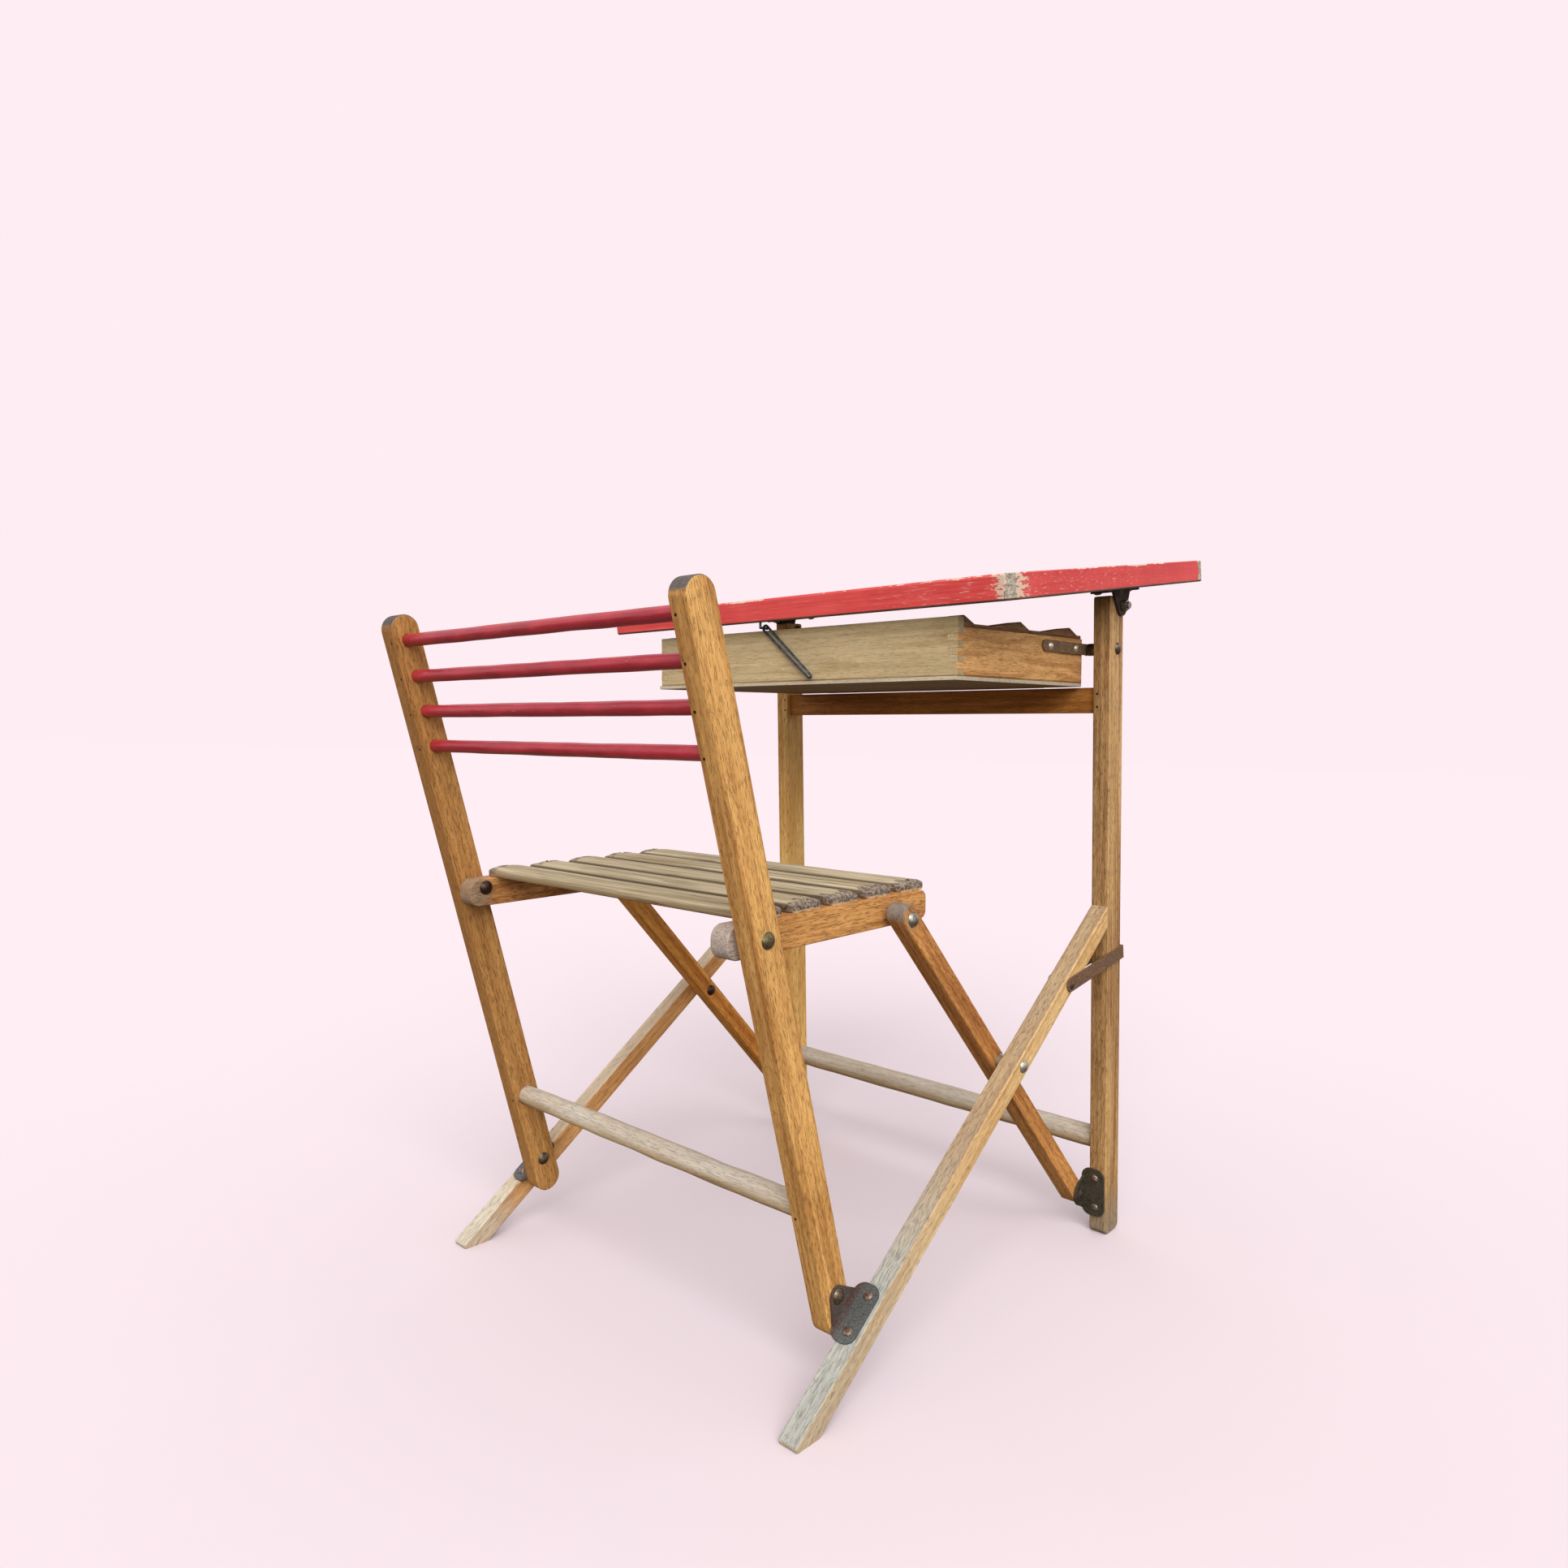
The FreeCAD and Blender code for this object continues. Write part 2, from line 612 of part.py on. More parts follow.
# Chair back: two posts, four rungs and a stretcher held in blind sockets, each pinned by a nail from behind
rung_places = []
for number in range(4):
    rung_places.append(size("top_rung_along") - number * size("rung_pitch"))
nails = []
for side, sign in SIDES:
    name = f"{side}_back_post"
    stock = bar(f"{name}_stock", "sizes.post_width", "sizes.post_tail", POST_REACH,
                "sizes.post_thick", f"sizes.post_width * {FULL_END}", f"sizes.post_width * {FULL_END}")
    stock.Placement = side_frame(sign * post_mid, *back_pivot, post_direction)
    tools = []
    for place, point, kind in (("foot", back_pivot, "rivet"), ("seat", seat_rear, "bolt")):
        tools.append(cross_rod(f"{name}_{place}_hole", hole[kind], sign * post_mid - spare,
                               sign * post_mid + spare, *point))
    near, far = sorted((sign * post_mid, sign * (post_in - spare)))
    sockets = [(along, "rung") for along in rung_places]
    sockets.append((size("rear_stretcher_along"), "rear_stretcher"))
    for index, (along, kind) in enumerate(sockets):
        radius = f"sizes.{kind}_diameter / 2 + sizes.fit"
        tools.append(cross_rod(f"{name}_socket_{index}", radius, near, far, *on_post(0, along)))
        deep = size("post_width") / 2 - size(f"{kind}_diameter") / 2 - gap
        nail = rod(f"{name}_nail_{index}", "sizes.nail_diameter / 2", deep)
        bed = rod(f"{name}_nail_hole_{index}", hole["nail"], deep + gap)
        nail_x = sign * (post_mid + post_in) / 2
        place = side_frame(nail_x, *on_post(size("post_width") / 2, along), post_direction - QUARTER_TURN)
        nail.Placement = place
        bed.Placement = place
        nails.append(nail)
        tools.append(bed)
    keep(without(name, stock, tools), name)

socket_end = post_mid - gap
for number, along in enumerate(rung_places, start=1):
    rung = cross_rod(f"rung_{number}", "sizes.rung_diameter / 2", -socket_end, socket_end, *on_post(0, along))
    keep(rung, f"back_rung_{number}")
stretcher = cross_rod("rear_dowel", "sizes.rear_stretcher_diameter / 2", -socket_end, socket_end,
                      *on_post(0, size("rear_stretcher_along")))
keep(stretcher, "rear_stretcher")
keep(grouped("rung_nail_group", nails), "rung_nails")

bolts = []
for side, sign in SIDES:
    reach = post_out - rail_in + gap
    bolt = domed_pin(f"{side}_seat_rear_bolt", BOLT[0], reach, *BOLT[1:], far_head=True)
    bolts.append(across(bolt, sign, post_out, *seat_rear))
keep(grouped("seat_rear_bolt_group", bolts), "seat_rear_bolts")

# Seat: two rails and five slats nailed across them
slat_places = []
for number in range(SLAT_COUNT):
    slat_places.append(size("first_slat_along") + number * worth(SLAT_PITCH))
slat_top = size("rail_height") / 2 + size("slat_thick")
stubs = []
for side, sign in SIDES:
    name = f"{side}_seat_rail"
    stock = bar(f"{name}_stock", "sizes.rail_height", "sizes.rail_tail", RAIL_REACH,
                "sizes.rail_thick", "sizes.rail_height * 0.42", "sizes.rail_height * 0.3")
    stock.Placement = side_frame(sign * rail_mid, *on_rail(0, 0), size("rail_slope"))
    tools = []
    for place, point in (("rear", seat_rear), ("front", seat_front)):
        tools.append(cross_rod(f"{name}_{place}_hole", hole["bolt"], sign * rail_mid - spare / 2,
                               sign * rail_mid + spare / 2, *point))
    for index, along in enumerate(slat_places):
        bed = rod(f"{name}_nail_hole_{index}", hole["nail"], "sizes.nail_length + sizes.gap")
        bed.Placement = side_frame(sign * rail_mid, *on_rail(along, slat_top),
                                   size("rail_slope") - QUARTER_TURN)
        tools.append(bed)
    keep(without(name, stock, tools), name)
    stub = domed_pin(f"{side}_seat_front_end", BOLT[0], "sizes.rail_thick", *BOLT[1:])
    stub.Placement = FreeCAD.Placement(Vector(sign * rail_in, *seat_front),
                                       FreeCAD.Rotation(Z_AXIS, HALF_TURN if sign > 0 else 0))
    stubs.append(stub)
keep(grouped("seat_front_end_group", stubs), "seat_front_bolt_ends")

nails = []
for number, along in enumerate(slat_places, start=1):
    name = f"seat_slat_{number}"
    stock = bar(f"{name}_stock", "sizes.slat_thick", "sizes.slat_width / 2", "sizes.slat_width / 2",
                SLAT_LENGTH, "sizes.slat_round", "sizes.slat_round")
    centre = on_rail(along, size("rail_height") / 2 + size("slat_thick") / 2)
    stock.Placement = side_frame(0, *centre, size("rail_slope"))
    tools = []
    for side, sign in SIDES:
        place = side_frame(sign * rail_mid, *on_rail(along, slat_top), size("rail_slope") - QUARTER_TURN)
        bed = rod(f"{name}_{side}_nail_hole", hole["nail"], "sizes.nail_length + sizes.gap")
        bed.Placement = place
        tools.append(bed)
        nail = rod(f"{name}_{side}_nail", "sizes.nail_diameter / 2", "sizes.nail_length")
        nail.Placement = place
        nails.append(nail)
    keep(without(name, stock, tools), name)
keep(grouped("slat_nail_group", nails), "slat_nails")

# Desk frame: two leaning legs, a crossbar mortised between them under the box and a dowel low down
leg_mid_forward = leg_rear_face + size("leg_depth") / 2
leg_foot = on_leg(leg_mid_forward, 0)
lean = math.radians(size("leg_lean"))
corner = size("leg_foot_round")
heel = (size("leg_depth") / 2 - corner) * math.sin(lean)
leg_below = corner + (leg_foot[1] - corner - heel) / math.cos(lean)
crossbar_mid = leg_rear_face + size("crossbar_inset") + size("crossbar_thick") / 2
crossbar_top = size("box_pivot_up") - size("box_drop") - size("board_thick") - 2 * gap
crossbar_up = crossbar_top - size("crossbar_height") / 2
leg_screws = (-bracket_half + size("plate_thick"), bracket_half + size("plate_thick"))
crossbar_nails = (crossbar_up - size("crossbar_height") / 4, crossbar_up + size("crossbar_height") / 4)
nails = []
for side, sign in SIDES:
    name = f"{side}_desk_leg"
    stock = bar(f"{name}_stock", "sizes.leg_depth", leg_below, LEG_ABOVE, "sizes.leg_thick",
                "sizes.leg_foot_round", "sizes.arris * 2")
    stock.Placement = side_frame(sign * leg_mid, *leg_foot, leg_direction)
    tools = []
    near, far = sorted((sign * leg_mid, sign * (leg_in - spare)))
    socket = "sizes.front_stretcher_diameter / 2 + sizes.fit"
    tools.append(cross_rod(f"{name}_socket", socket, near, far,
                           *on_leg(leg_mid_forward, size("front_stretcher_up"))))
    mortise = block(f"{name}_mortise", far - near, "sizes.crossbar_thick + 2 * sizes.fit",
                    "sizes.crossbar_height + 2 * sizes.fit")
    low = on_leg(crossbar_mid - size("crossbar_thick") / 2 - fit,
                 crossbar_up - size("crossbar_height") / 2 - fit)
    mortise.Placement = side_frame(near, *low, leg_direction)
    tools.append(mortise)
    for place, point, kind in (("strap", box_pivot, "rivet"), ("hinge", top_hinge, "bolt")):
        tools.append(cross_rod(f"{name}_{place}_hole", hole[kind], sign * leg_mid - spare,
                               sign * leg_mid + spare, *point))
    for index, up in enumerate(leg_screws):
        pilot = rod(f"{name}_pilot_{index}", hole["screw"], "sizes.screw_length")
        pilot.Placement = side_frame(sign * screw_x, *on_leg(leg_rear_face - size("plate_thick"), up),
                                     leg_direction - QUARTER_TURN)
        tools.append(pilot)
    for index, up in enumerate(crossbar_nails):
        bed = rod(f"{name}_nail_hole_{index}", hole["nail"], size("crossbar_inset") - fit)
        nail = rod(f"{name}_nail_{index}", "sizes.nail_diameter / 2", size("crossbar_inset") - gap)
        place = side_frame(sign * (leg_mid + leg_in) / 2, *on_leg(leg_rear_face, up),
                           leg_direction - QUARTER_TURN)
        bed.Placement = place
        nail.Placement = place
        tools.append(bed)
        nails.append(nail)
    keep(without(name, stock, tools), name)
keep(grouped("crossbar_nail_group", nails), "crossbar_nails")

crossbar = bar("crossbar_stock", "sizes.crossbar_thick", "sizes.crossbar_height / 2",
               "sizes.crossbar_height / 2", 2 * (leg_mid - gap), "sizes.arris", "sizes.arris", arris=None)
crossbar.Placement = side_frame(0, *on_leg(crossbar_mid, crossbar_up), leg_direction)
keep(crossbar, "crossbar")
dowel = cross_rod("front_dowel", "sizes.front_stretcher_diameter / 2", -leg_mid + gap, leg_mid - gap,
                  *on_leg(leg_mid_forward, size("front_stretcher_up")))
keep(dowel, "front_stretcher")

# Leg brackets: a flange screwed on the leg's rear face and a lug behind it for the brace's pivot rivet
leg_screw_pins = []
rivets = []
flange_wide = leg_out - lug_in - size("plate_thick") / 2
for side, sign in SIDES:
    name = f"{side}_leg_bracket"
    base = flange(f"{name}_flange", flange_wide, "sizes.bracket_length")
    base.Placement = face_frame(sign * (lug_in + flange_wide / 2),
                                *on_leg(leg_rear_face - half_plate, size("plate_thick")), leg_direction)
    tab = lug(f"{name}_lug", "sizes.lug_half_base", "sizes.leg_offset", "sizes.leg_lug_radius")
    tab.Placement = side_frame(sign * (lug_in + lug_out) / 2, *leg_pivot, leg_direction + QUARTER_TURN)
    tools = [cross_rod(f"{name}_pin_hole", hole["rivet"], sign * lug_in - spare, sign * lug_in + spare,
                       *leg_pivot)]
    for index, up in enumerate(leg_screws):
        y, z = on_leg(leg_rear_face - size("plate_thick"), up)
        tip = rod(f"{name}_screw_hole_{index}", hole["screw"], "sizes.screw_length")
        tip.Placement = side_frame(sign * screw_x, y, z, leg_direction - QUARTER_TURN)
        tools.append(tip)
        screw = domed_pin(f"{name}_screw_{index}", SCREW[0], "sizes.screw_length", *SCREW[1:])
        screw.Placement = FreeCAD.Placement(
            Vector(sign * screw_x, y, z),
            FreeCAD.Rotation(X_AXIS, leg_direction).multiply(FreeCAD.Rotation(Y_AXIS, -QUARTER_TURN)))
        leg_screw_pins.append(screw)
    keep(without(name, joined(f"{name}_plate", [base, tab]), tools), name)
    rivet = domed_pin(f"{side}_leg_rivet", RIVET[0], lug_out - post_in + gap, SMALL_HEAD, SMALL_DOME,
                      far_head=True)
    rivets.append(across(rivet, sign, lug_out, *leg_pivot))
keep(grouped("leg_bracket_screw_group", leg_screw_pins), "leg_bracket_screws")
keep(grouped("leg_pivot_rivet_group", rivets), "leg_pivot_rivets")

# Locking bails: flat steel bent round each desk leg and riveted to the ground leg
bail_rest = size("bail_rest")
leg_front_face = leg_rear_face + size("leg_depth")
pivot_forward = turned(bail_pivot[0] - leg_pivot[0], bail_pivot[1] - leg_pivot[1], -size("leg_lean"))[0]
bail_lean = math.radians(bail_rest - size("leg_lean"))
bail_inside = (leg_front_face - pivot_forward) / math.cos(bail_lean) + size("bail_clear")
rivets = []
for side, sign in SIDES:
    name = f"{side}_locking_bail"
    arms = []
    faces = (leg_out + gap, leg_in - gap - size("bail_thick"))
    for place, face in zip(("outer", "inner"), faces):
        arm = bar(f"{name}_{place}_arm", "sizes.bail_width", "sizes.bail_width / 2",
                  bail_inside + size("bail_thick"), "sizes.bail_thick",
                  f"sizes.bail_width * {FULL_END}", "sizes.bail_thick / 4", arris=None)
        arm.Placement = side_frame(sign * (face + size("bail_thick") / 2), *bail_pivot, bail_rest)
        arms.append(arm)
    wide = faces[0] - faces[1] + size("bail_thick")
    front = block(f"{name}_front", wide, "sizes.bail_width", "sizes.bail_thick")
    y, z = turned(bail_inside, size("bail_width") / 2, bail_rest)
    front_x = faces[1] if sign > 0 else -faces[1] - wide
    front.Placement = side_frame(front_x, bail_pivot[0] + y, bail_pivot[1] + z, bail_rest)
    pin_hole = cross_rod(f"{name}_hole", hole["rivet"], sign * leg_mid - spare, sign * leg_mid + spare,
                         *bail_pivot)
    keep(without(name, joined(f"{name}_strip", arms + [front]), [pin_hole]), name)
    reach = wide + gap
    rivet = domed_pin(f"{side}_bail_rivet", RIVET[0], reach, SMALL_HEAD, SMALL_DOME, far_head=True)
    rivets.append(across(rivet, sign, faces[0] + size("bail_thick"), *bail_pivot))
keep(grouped("bail_rivet_group", rivets), "bail_rivets")

# Box: rear panel and sides finger-jointed at the rear corners, a front panel, a bottom board that sticks out
side_height = size("box_drop") + size("box_side_rise")
finger_count = 7
finger = side_height / finger_count


def box_block(name, x, along, rise, wide, deep, tall):
    """A block of the box, placed by its low rear left corner from the strap pivot."""
    piece = block(name, wide, deep, tall)
    piece.Placement = FreeCAD.Placement(Vector(x, *on_box(along, rise)),
                                        FreeCAD.Rotation(X_AXIS, box_direction))
    return piece


side_top_direction = box_direction + size("box_side_taper")


def on_side_top(along, rise):
    """A side-view point on the sloping top edge of a box side, given from its rear end."""
    rear_y, rear_z = on_box(-size("box_rear"), size("box_side_rise"))
    y, z = turned(along, rise, side_top_direction)
    return (rear_y + y, rear_z + z)


rear_stock = box_block("rear_panel_stock", -box_out, -size("box_rear"), -size("box_drop"), BOX_WIDTH,
                       "sizes.box_wall", "sizes.box_drop + sizes.box_rear_rise")
notches = []
for side, sign in SIDES:
    x = box_in if sign > 0 else -box_out
    for number in range(1, finger_count, 2):
        low = -size("box_drop") + number * finger
        notches.append(box_block(f"rear_panel_{side}_notch_{number}", x, -size("box_rear"), low,
                                 "sizes.box_wall", "sizes.box_wall", finger))
keep(without("box_rear_panel", rear_stock, notches), "box_rear_panel")

rivets = []
for side, sign in SIDES:
    name = f"box_{side}_side"
    x = box_in if sign > 0 else -box_out
    stock = box_block(f"{name}_stock", x, -size("box_rear"), -size("box_drop"), "sizes.box_wall",
                      "sizes.box_rear - sizes.box_front", "sizes.box_drop + sizes.box_rear_rise")
    taper = block(f"{name}_taper", "sizes.box_wall", "sizes.box_rear * 2", "sizes.box_drop")
    taper.Placement = FreeCAD.Placement(Vector(x, *on_side_top(-size("box_wall"), 0)),
                                        FreeCAD.Rotation(X_AXIS, side_top_direction))
    tools = [taper]
    for number in range(0, finger_count, 2):
        low = -size("box_drop") + number * finger
        tools.append(box_block(f"{name}_notch_{number}", x, -size("box_rear"), low,
                               "sizes.box_wall", "sizes.box_wall", finger))
    strap_name = f"{side}_box_strap"
    strap = bar(f"{strap_name}_stock", "sizes.strap_height", "sizes.strap_rivet_far + sizes.strap_end",
                "sizes.strap_height / 2", "sizes.plate_thick", f"sizes.strap_height * {FULL_END}",
                f"sizes.strap_height * {FULL_END}", arris=None)
    strap.Placement = side_frame(sign * (box_out + size("plate_thick") / 2), *box_pivot, box_direction)
    strap_tools = [cross_rod(f"{strap_name}_pin_hole", hole["rivet"], sign * box_out - spare,
                             sign * box_out + spare, *box_pivot)]
    for place in ("near", "far"):
        point = on_box(-size(f"strap_rivet_{place}"), 0)
        for owner, cuts in ((name, tools), (strap_name, strap_tools)):
            cuts.append(cross_rod(f"{owner}_{place}_rivet_hole", hole["screw"], sign * box_out - spare / 2,
                                  sign * box_out + spare / 2, *point))
        rivet = domed_pin(f"{strap_name}_{place}_rivet", SCREW[0], "sizes.box_wall + sizes.plate_thick",
                          *SCREW[1:])
        rivets.append(across(rivet, sign, box_out + size("plate_thick"), *point))
    keep(without(name, stock, tools), name)
    keep(without(strap_name, strap, strap_tools), strap_name)
keep(grouped("strap_rivet_group", rivets), "strap_rivets")

front_panel = box_block("front_panel", -box_in, -size("box_front") - size("box_wall"), -size("box_drop"),
                        f"{BOX_WIDTH} - 2 * sizes.box_wall", "sizes.box_wall",
                        "sizes.box_drop + sizes.box_side_rise")
keep(front_panel, "box_front_panel")

# The bottom board reaches forward, in from its corners, to lie on the crossbar and stop the box from dropping
crossbar_rear = on_leg(leg_rear_face + size("crossbar_inset"), crossbar_top)
board_front = crossbar_rear[0] - box_pivot[0] + size("board_lap")
board_back = size("box_rear") + size("board_ledge")
board = box_block("bottom_board", -box_out - size("board_side_ledge"), -board_back,
                  -size("box_drop") - size("board_thick"), f"{BOX_WIDTH} + 2 * sizes.board_side_ledge",
                  board_back + board_front, "sizes.board_thick")
corners = []
for side, sign in SIDES:
    x = box_out - size("board_corner") if sign > 0 else -box_out - spare
    corners.append(box_block(f"bottom_board_{side}_corner", x, -size("box_front"),
                             -size("box_drop") - 2 * size("board_thick"), size("board_corner") + spare,
                             board_front + spare, "3 * sizes.board_thick"))
keep(without("box_bottom_board", board, corners), "box_bottom_board")

# Racks on the box sides: ramps that rise towards the front and drop off steeply
rack_rear = size("box_wall")
rack_front = size("box_rear") - size("box_front")
rack_valley = size("rack_valley")
tooth_top = rack_valley + size("tooth_rise")
crest = size("first_tooth_end")
tooth_pitch = (rack_front - size("rack_end") - size("tooth_fall") - crest) / 2
profile = [(rack_rear, 0), (rack_rear, tooth_top), (crest, tooth_top)]
profile.append((crest + size("tooth_fall"), rack_valley))
for number in (1, 2):
    crest = crest + tooth_pitch
    profile.append((crest - size("tooth_ramp"), rack_valley))
    profile.append((crest, tooth_top))
    profile.append((crest + size("tooth_fall"), rack_valley))
profile.append((rack_front, rack_valley))
profile.append((rack_front, 0))
for side, sign in SIDES:
    name = f"{side}_rack"
    body = doc.addObject("PartDesign::Body", name)
    sketch = sketch_on(body, f"{name}_teeth")
    for index, (along, rise) in enumerate(profile):
        end_along, end_rise = profile[(index + 1) % len(profile)]
        sketch.addGeometry(Part.LineSegment(Vector(along, rise), Vector(end_along, end_rise)))
    pad = body.newObject("PartDesign::Pad", f"{name}_pad")
    pad.Profile = sketch
    pad.SideType = "Symmetric"
    pad.setExpression("Length", "sizes.rack_thick")
    rack_mid = box_out - size("rack_inset") - size("rack_thick") / 2
    body.Placement = FreeCAD.Placement(Vector(sign * rack_mid, *on_side_top(0, 0)),
                                       FreeCAD.Rotation(X_AXIS, side_top_direction))
    keep(body, name)

# Strap pivots: a rivet through the leg and a spacer that keeps the strap off the leg's inner face
rivets = []
spacers = []
strap_out = box_out + size("plate_thick")
for side, sign in SIDES:
    reach = leg_out - box_out + gap
    rivet = domed_pin(f"{side}_strap_pivot", RIVET[0], reach, *RIVET[1:], far_head=True)
    rivets.append(across(rivet, sign, leg_out, *box_pivot))
    near, far = sorted((sign * (strap_out + gap), sign * leg_in))
    ring = cross_rod(f"{side}_strap_ring", "sizes.rivet_head / 2", near, far, *box_pivot)
    bore = cross_rod(f"{side}_strap_bore", hole["rivet"], near - spare, far + spare, *box_pivot)
    spacers.append(without(f"{side}_strap_spacer", ring, [bore]))
keep(grouped("strap_pivot_group", rivets + spacers), "strap_pivot_rivets")

# Tabletop: a red board that turns on the hinge bolts through two ear plates
underside = size("top_clear")
stay_pivot_y = box_pivot[0] - size("box_rear") - size("stay_stand_off")
hook_along = (stay_pivot_y - size("wire_diameter") * 2 - top_hinge[0]) / math.cos(math.radians(top_direction))
ear_screw_x = leg_mid
top_stock = bar("tabletop_stock", "sizes.top_thick", TOP_REAR, "sizes.top_front", TOP_WIDTH,
                "sizes.top_round", "sizes.top_round", arris="sizes.arris")
top_stock.Placement = side_frame(0, *on_top(0, underside + size("top_thick") / 2), top_direction)
top_tools = []
ear_screws = []
bolts = []
nuts = []
ear_in = leg_out + gap
ear_out = ear_in + size("plate_thick")
flange_wide = ear_out - leg_in - size("plate_thick")
for side, sign in SIDES:
    name = f"{side}_hinge_ear"
    base = flange(f"{name}_flange", flange_wide, EAR_LENGTH)
    ear_middle = (size("ear_screw_front") - size("ear_screw_rear")) / 2
    seat_of_base = on_top(ear_middle, underside - half_plate)
    base.Placement = face_frame(sign * (ear_out - flange_wide / 2), *seat_of_base, top_direction)
    tab = lug(f"{name}_lug", "sizes.ear_half_base", "sizes.top_clear", "sizes.ear_radius")
    tab.Placement = side_frame(sign * (ear_in + ear_out) / 2, *top_hinge, top_direction - QUARTER_TURN)
    tools = [cross_rod(f"{name}_hole", hole["bolt"], sign * ear_in - spare / 2, sign * ear_in + spare / 2,
                       *top_hinge)]
    for place, along in (("front", size("ear_screw_front")), ("rear", -size("ear_screw_rear"))):
        y, z = on_top(along, underside - size("plate_thick"))
        for owner, cuts in ((name, tools), (f"tabletop_{side}", top_tools)):
            pilot = rod(f"{owner}_{place}_pilot", hole["screw"], "sizes.screw_length")
            pilot.Placement = side_frame(sign * ear_screw_x, y, z, top_direction + QUARTER_TURN)
            cuts.append(pilot)
        screw = domed_pin(f"{name}_{place}_screw", SCREW[0], "sizes.screw_length", *SCREW[1:])
        screw.Placement = FreeCAD.Placement(
            Vector(sign * ear_screw_x, y, z),
            FreeCAD.Rotation(X_AXIS, top_direction).multiply(FreeCAD.Rotation(Y_AXIS, QUARTER_TURN)))
        ear_screws.append(screw)
    keep(without(name, joined(f"{name}_bent", [base, tab]), tools), name)
    reach = ear_out + gap + size("nut_thick") + size("plate_thick") - leg_in
    bolt = domed_pin(f"{side}_hinge_bolt", BOLT[0], reach, *BOLT[1:])
    bolt.Placement = FreeCAD.Placement(Vector(sign * leg_in, *top_hinge),
                                       FreeCAD.Rotation(Z_AXIS, HALF_TURN if sign > 0 else 0))
    bolts.append(bolt)
    blank = doc.addObject("Part::Prism", f"{side}_hinge_nut_blank")
    blank.Polygon = 6
    bind(blank, "Circumradius", "sizes.nut_across / 2")
    bind(blank, "Height", "sizes.nut_thick")
    nut_x = ear_out + gap if sign > 0 else -ear_out - gap - size("nut_thick")
    blank.Placement = FreeCAD.Placement(Vector(nut_x, *top_hinge), FreeCAD.Rotation(Y_AXIS, QUARTER_TURN))
    thread = cross_rod(f"{side}_hinge_nut_bore", hole["bolt"], nut_x - spare, nut_x + spare, *top_hinge)
    nuts.append(without(f"{side}_hinge_nut", blank, [thread]))
keep(grouped("hinge_ear_screw_group", ear_screws), "hinge_ear_screws")
keep(grouped("top_hinge_bolt_group", bolts), "top_hinge_bolts")
keep(grouped("top_hinge_nut_group", nuts), "top_hinge_nuts")

# Wire stay: a closed wire link on a hook under the tabletop, its foot standing on the box's bottom board
hook_seat = on_top(hook_along, underside)
stay_pivot_z = hook_seat[1] - size("stay_pivot_drop")
stay_x = -size("stay_pivot_side")
wire = "sizes.wire_diameter / 2"
hook_drop = rod("hook_drop", wire, "sizes.screw_length + sizes.stay_pivot_drop")
hook_drop.Placement = FreeCAD.Placement(Vector(stay_x, hook_seat[0], stay_pivot_z), FreeCAD.Rotation())
hook_pin = rod("hook_pin", wire, stay_pivot_y - hook_seat[0] + size("wire_diameter"))
hook_pin.Placement = FreeCAD.Placement(Vector(stay_x, hook_seat[0], stay_pivot_z),
                                       FreeCAD.Rotation(X_AXIS, -QUARTER_TURN))
elbow = doc.addObject("Part::Sphere", "hook_elbow")
bind(elbow, "Radius", wire)
elbow.Placement = FreeCAD.Placement(Vector(stay_x, hook_seat[0], stay_pivot_z), FreeCAD.Rotation())
keep(joined("hook", [hook_drop, hook_pin, elbow]), "stay_hook")
hook_bed = rod("tabletop_hook_hole", f"{wire} + sizes.fit",
               "sizes.screw_length + sizes.stay_pivot_drop + sizes.gap")
hook_bed.Placement = hook_drop.Placement
top_tools.append(hook_bed)
keep(without("tabletop", top_stock, top_tools), "tabletop")

bend = size("stay_bend")
members = []
for index, offset in enumerate((-bend, bend)):
    strand = rod(f"stay_strand_{index}", wire, "sizes.stay_length")
    strand.Placement = FreeCAD.Placement(Vector(offset, 0, 0), FreeCAD.Rotation())
    members.append(strand)
for index, (place, turn) in enumerate(((0, HALF_TURN), (size("stay_length"), 0))):
    ring = doc.addObject("Part::Torus", f"stay_bend_{index}")
    bind(ring, "Radius1", "sizes.stay_bend")
    bind(ring, "Radius2", wire)
    ring.Angle3 = HALF_TURN
    spin = FreeCAD.Rotation(Y_AXIS, turn).multiply(FreeCAD.Rotation(X_AXIS, QUARTER_TURN))
    ring.Placement = FreeCAD.Placement(Vector(0, 0, place), spin)
    members.append(ring)
link = joined("stay_link", members)
board_z = on_box(-size("box_rear") - size("stay_stand_off"), -size("box_drop"))[1]
stay_fall = stay_pivot_z - board_z - bend - size("wire_diameter") / 2 - 2 * gap
hang_angle = math.degrees(math.asin(stay_fall / size("stay_length")))
hang = FreeCAD.Rotation(Y_AXIS, QUARTER_TURN + hang_angle)
link.Placement = FreeCAD.Placement(Vector(stay_x, stay_pivot_y, stay_pivot_z), hang)
keep(link, "wire_stay")

# Set the desk over the origin: centred in plan, standing on the floor
doc.recompute()
whole = FreeCAD.BoundBox()
for piece in pieces:
    whole.add(piece.Shape.optimalBoundingBox(False, False))
shift = Vector(0, -(whole.YMin + whole.YMax) / 2, -whole.ZMin)
for piece in pieces:
    piece.Placement = FreeCAD.Placement(shift, FreeCAD.Rotation()).multiply(piece.Placement)
doc.recompute()

faults = []
for entry in doc.Objects:
    if "Invalid" in entry.State or "Error" in entry.State:
        faults.append(f"{entry.Label}: {entry.State}")
for piece in pieces:
    if piece.Shape.isNull() or not piece.Shape.isValid() or not piece.Shape.Solids:
        faults.append(f"{piece.Label}: no valid solid")
if faults:
    raise RuntimeError("; ".join(faults))

